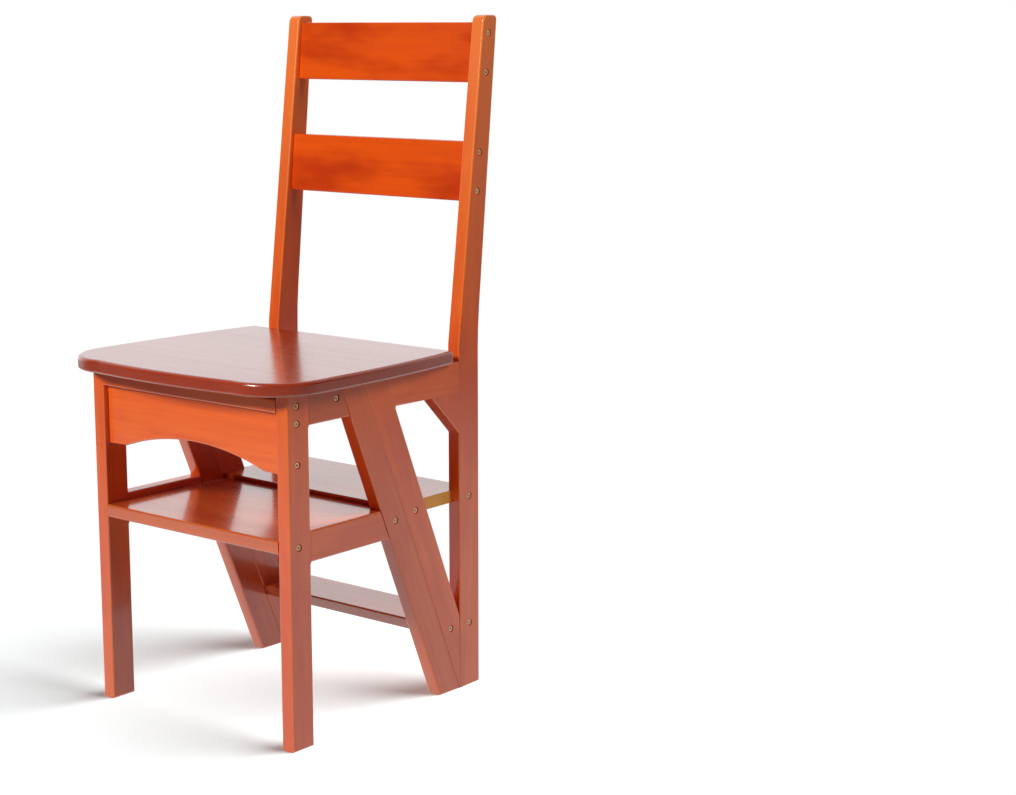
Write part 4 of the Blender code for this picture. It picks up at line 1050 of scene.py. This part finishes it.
def shade_by(lamp, nodes):
    """Let only the planks that stand on the floor throw a lamp's shadow."""
    casting = bpy.data.collections.new(f"{lamp.name}_casting")
    for node in nodes:
        for side, _ in SIDES:
            casting.objects.link(bpy.data.objects[f"{node}_{side}_finished"])
    lamp.light_linking.blocker_collection = casting


def rays(look):
    """One for rays from the camera, else zero, and the same for rays from a mirror or a pane."""
    path = look.node("ShaderNodeLightPath")
    camera, glossy, through = (Value(look, path.outputs[f"Is {kind} Ray"])
                               for kind in ("Camera", "Glossy", "Transmission"))
    return camera, glossy.math("MAXIMUM", glossy, through)


def add_floor(colour):
    """Pale floor that the camera sees as white, less the chair's shadow, which fades out with distance.

    Reflections show it white near the chair and dark further off, as a sheet of paper on a studio floor.
    """
    look = Look(bpy.data.materials.new("floor_pale"))
    camera, mirror = rays(look)
    place = look.node("ShaderNodeTexCoord").outputs["Object"]
    distance = look.value("ShaderNodeVectorMath", {"operation": "LENGTH"}, {0: place}, "Value")
    white = look.between(distance, SHADOW_REACH / 2, SHADOW_REACH, NEAR_GLOW, 1.0)
    way = look.value("ShaderNodeVectorMath", {"operation": "DOT_PRODUCT"}, {0: place, 1: SHEET_WAY}, "Value")
    gone = distance - way.math("MAXIMUM", way, 0) * SHEET_STRETCH
    far = look.between(gone, SHADOW_REACH, SHEET_END, 0.0, SHEET_DARK)
    shade = look.mix(camera, opaque(colour), opaque(FLOOR_SEEN))
    shade = look.mix(mirror * far, shade, (0, 0, 0, 1))
    look.feed(look.shader, {"Base Color": shade, "Roughness": 0.9, "Specular IOR Level": 0.0})
    glow = look.node("ShaderNodeEmission")
    factor = camera * white + mirror * (1 - far)
    blend = look.node("ShaderNodeMixShader", None,
                      {0: factor, 1: look.shader.outputs[0], 2: glow.outputs[0]})
    look.feed(look.tree.nodes["Material Output"], {"Surface": blend.outputs[0]})
    mesh = bpy.data.meshes.new("floor")
    signs = ((-1, -1), (1, -1), (1, 1), (-1, 1))
    mesh.from_pydata([(u * FLOOR_REACH, v * FLOOR_REACH, 0) for u, v in signs], [], [(0, 1, 2, 3)])
    mesh.materials.append(look.owner)
    floor = add_object("floor", mesh)
    return floor


def set_world():
    """Even studio light that the camera sees as white.

    A reflection meets white where the backdrop stands, behind the chair as photographed, and the dim
    room everywhere else.
    """
    world = bpy.data.worlds.new("studio")
    bpy.context.scene.world = world
    look = Look(world, "Background")
    direction = look.node("ShaderNodeTexCoord").outputs["Generated"]
    behind = (-sin(radians(CAMERA_AZIMUTH)), cos(radians(CAMERA_AZIMUTH)), 0)
    facing = look.node("ShaderNodeVectorMath", {"operation": "DOT_PRODUCT"}, {0: direction, 1: behind})
    backdrop = look.between(facing.outputs["Value"], 0.0, BACKDROP_FACING, ROOM_MIRRORED, 1.0)
    camera, mirror = rays(look)
    light = ROOM_LIGHT + mirror * (backdrop - ROOM_LIGHT) + camera * (1 - ROOM_LIGHT)
    look.feed(look.shader, {"Color": (1, 1, 1, 1), "Strength": light})


class CHAIR_OT_stage(bpy.types.Operator):
    """Lay the floor and set the lamps, the world and the camera"""
    bl_idname = "chair.stage"
    bl_label = "Studio"

    def execute(self, context):
        context.scene.view_settings.view_transform = "Standard"
        floor = add_floor(context.scene.chair_finish.floor)
        set_world()
        front, right, streaks, rear = (add_lamp(name, *numbers) for name, numbers in LAMPS.items())
        right.visible_glossy = rear.visible_glossy = False
        for lamp in (front, right, rear):
            light_up(lamp, floor, "EXCLUDE")
        light_up(streaks, floor, "INCLUDE")
        shade_by(streaks, ("front_leg", "front_stringer", "rear_stringer", "rear_post"))
        add_camera()
        return {"FINISHED"}


STEPS = (CHAIR_OT_finishes, CHAIR_OT_side_frames, CHAIR_OT_boards, CHAIR_OT_apron, CHAIR_OT_slats,
         CHAIR_OT_seat, CHAIR_OT_screws, CHAIR_OT_hinges, CHAIR_OT_stage)


class CHAIR_PT_panel(bpy.types.Panel):
    """Sizes, colours and steps of the chair's finish"""
    bl_idname = "CHAIR_PT_panel"
    bl_label = "Library Step Chair"
    bl_space_type = "VIEW_3D"
    bl_region_type = "UI"
    bl_category = "Step Chair"

    def draw(self, context):
        for group in (context.scene.chair_sizes, context.scene.chair_finish):
            column = self.layout.column()
            for name in group.bl_rna.properties.keys():
                if name not in ("rna_type", "name"):
                    column.prop(group, name)
        for step in STEPS:
            self.layout.operator(step.bl_idname)


CLASSES = (CHAIR_PG_sizes, CHAIR_PG_finish, *STEPS, CHAIR_PT_panel)


def register():
    """Add the classes and their settings to Blender."""
    for each in CLASSES:
        bpy.utils.register_class(each)
    bpy.types.Scene.chair_sizes = bpy.props.PointerProperty(type=CHAIR_PG_sizes)
    bpy.types.Scene.chair_finish = bpy.props.PointerProperty(type=CHAIR_PG_finish)


def unregister():
    """Take them away again."""
    del bpy.types.Scene.chair_finish
    del bpy.types.Scene.chair_sizes
    for each in reversed(CLASSES):
        bpy.utils.unregister_class(each)


def main():
    """Run every step in order."""
    register()
    for step in STEPS:
        getattr(bpy.ops.chair, step.bl_idname.split(".")[1])()


if __name__ == "__main__":
    main()
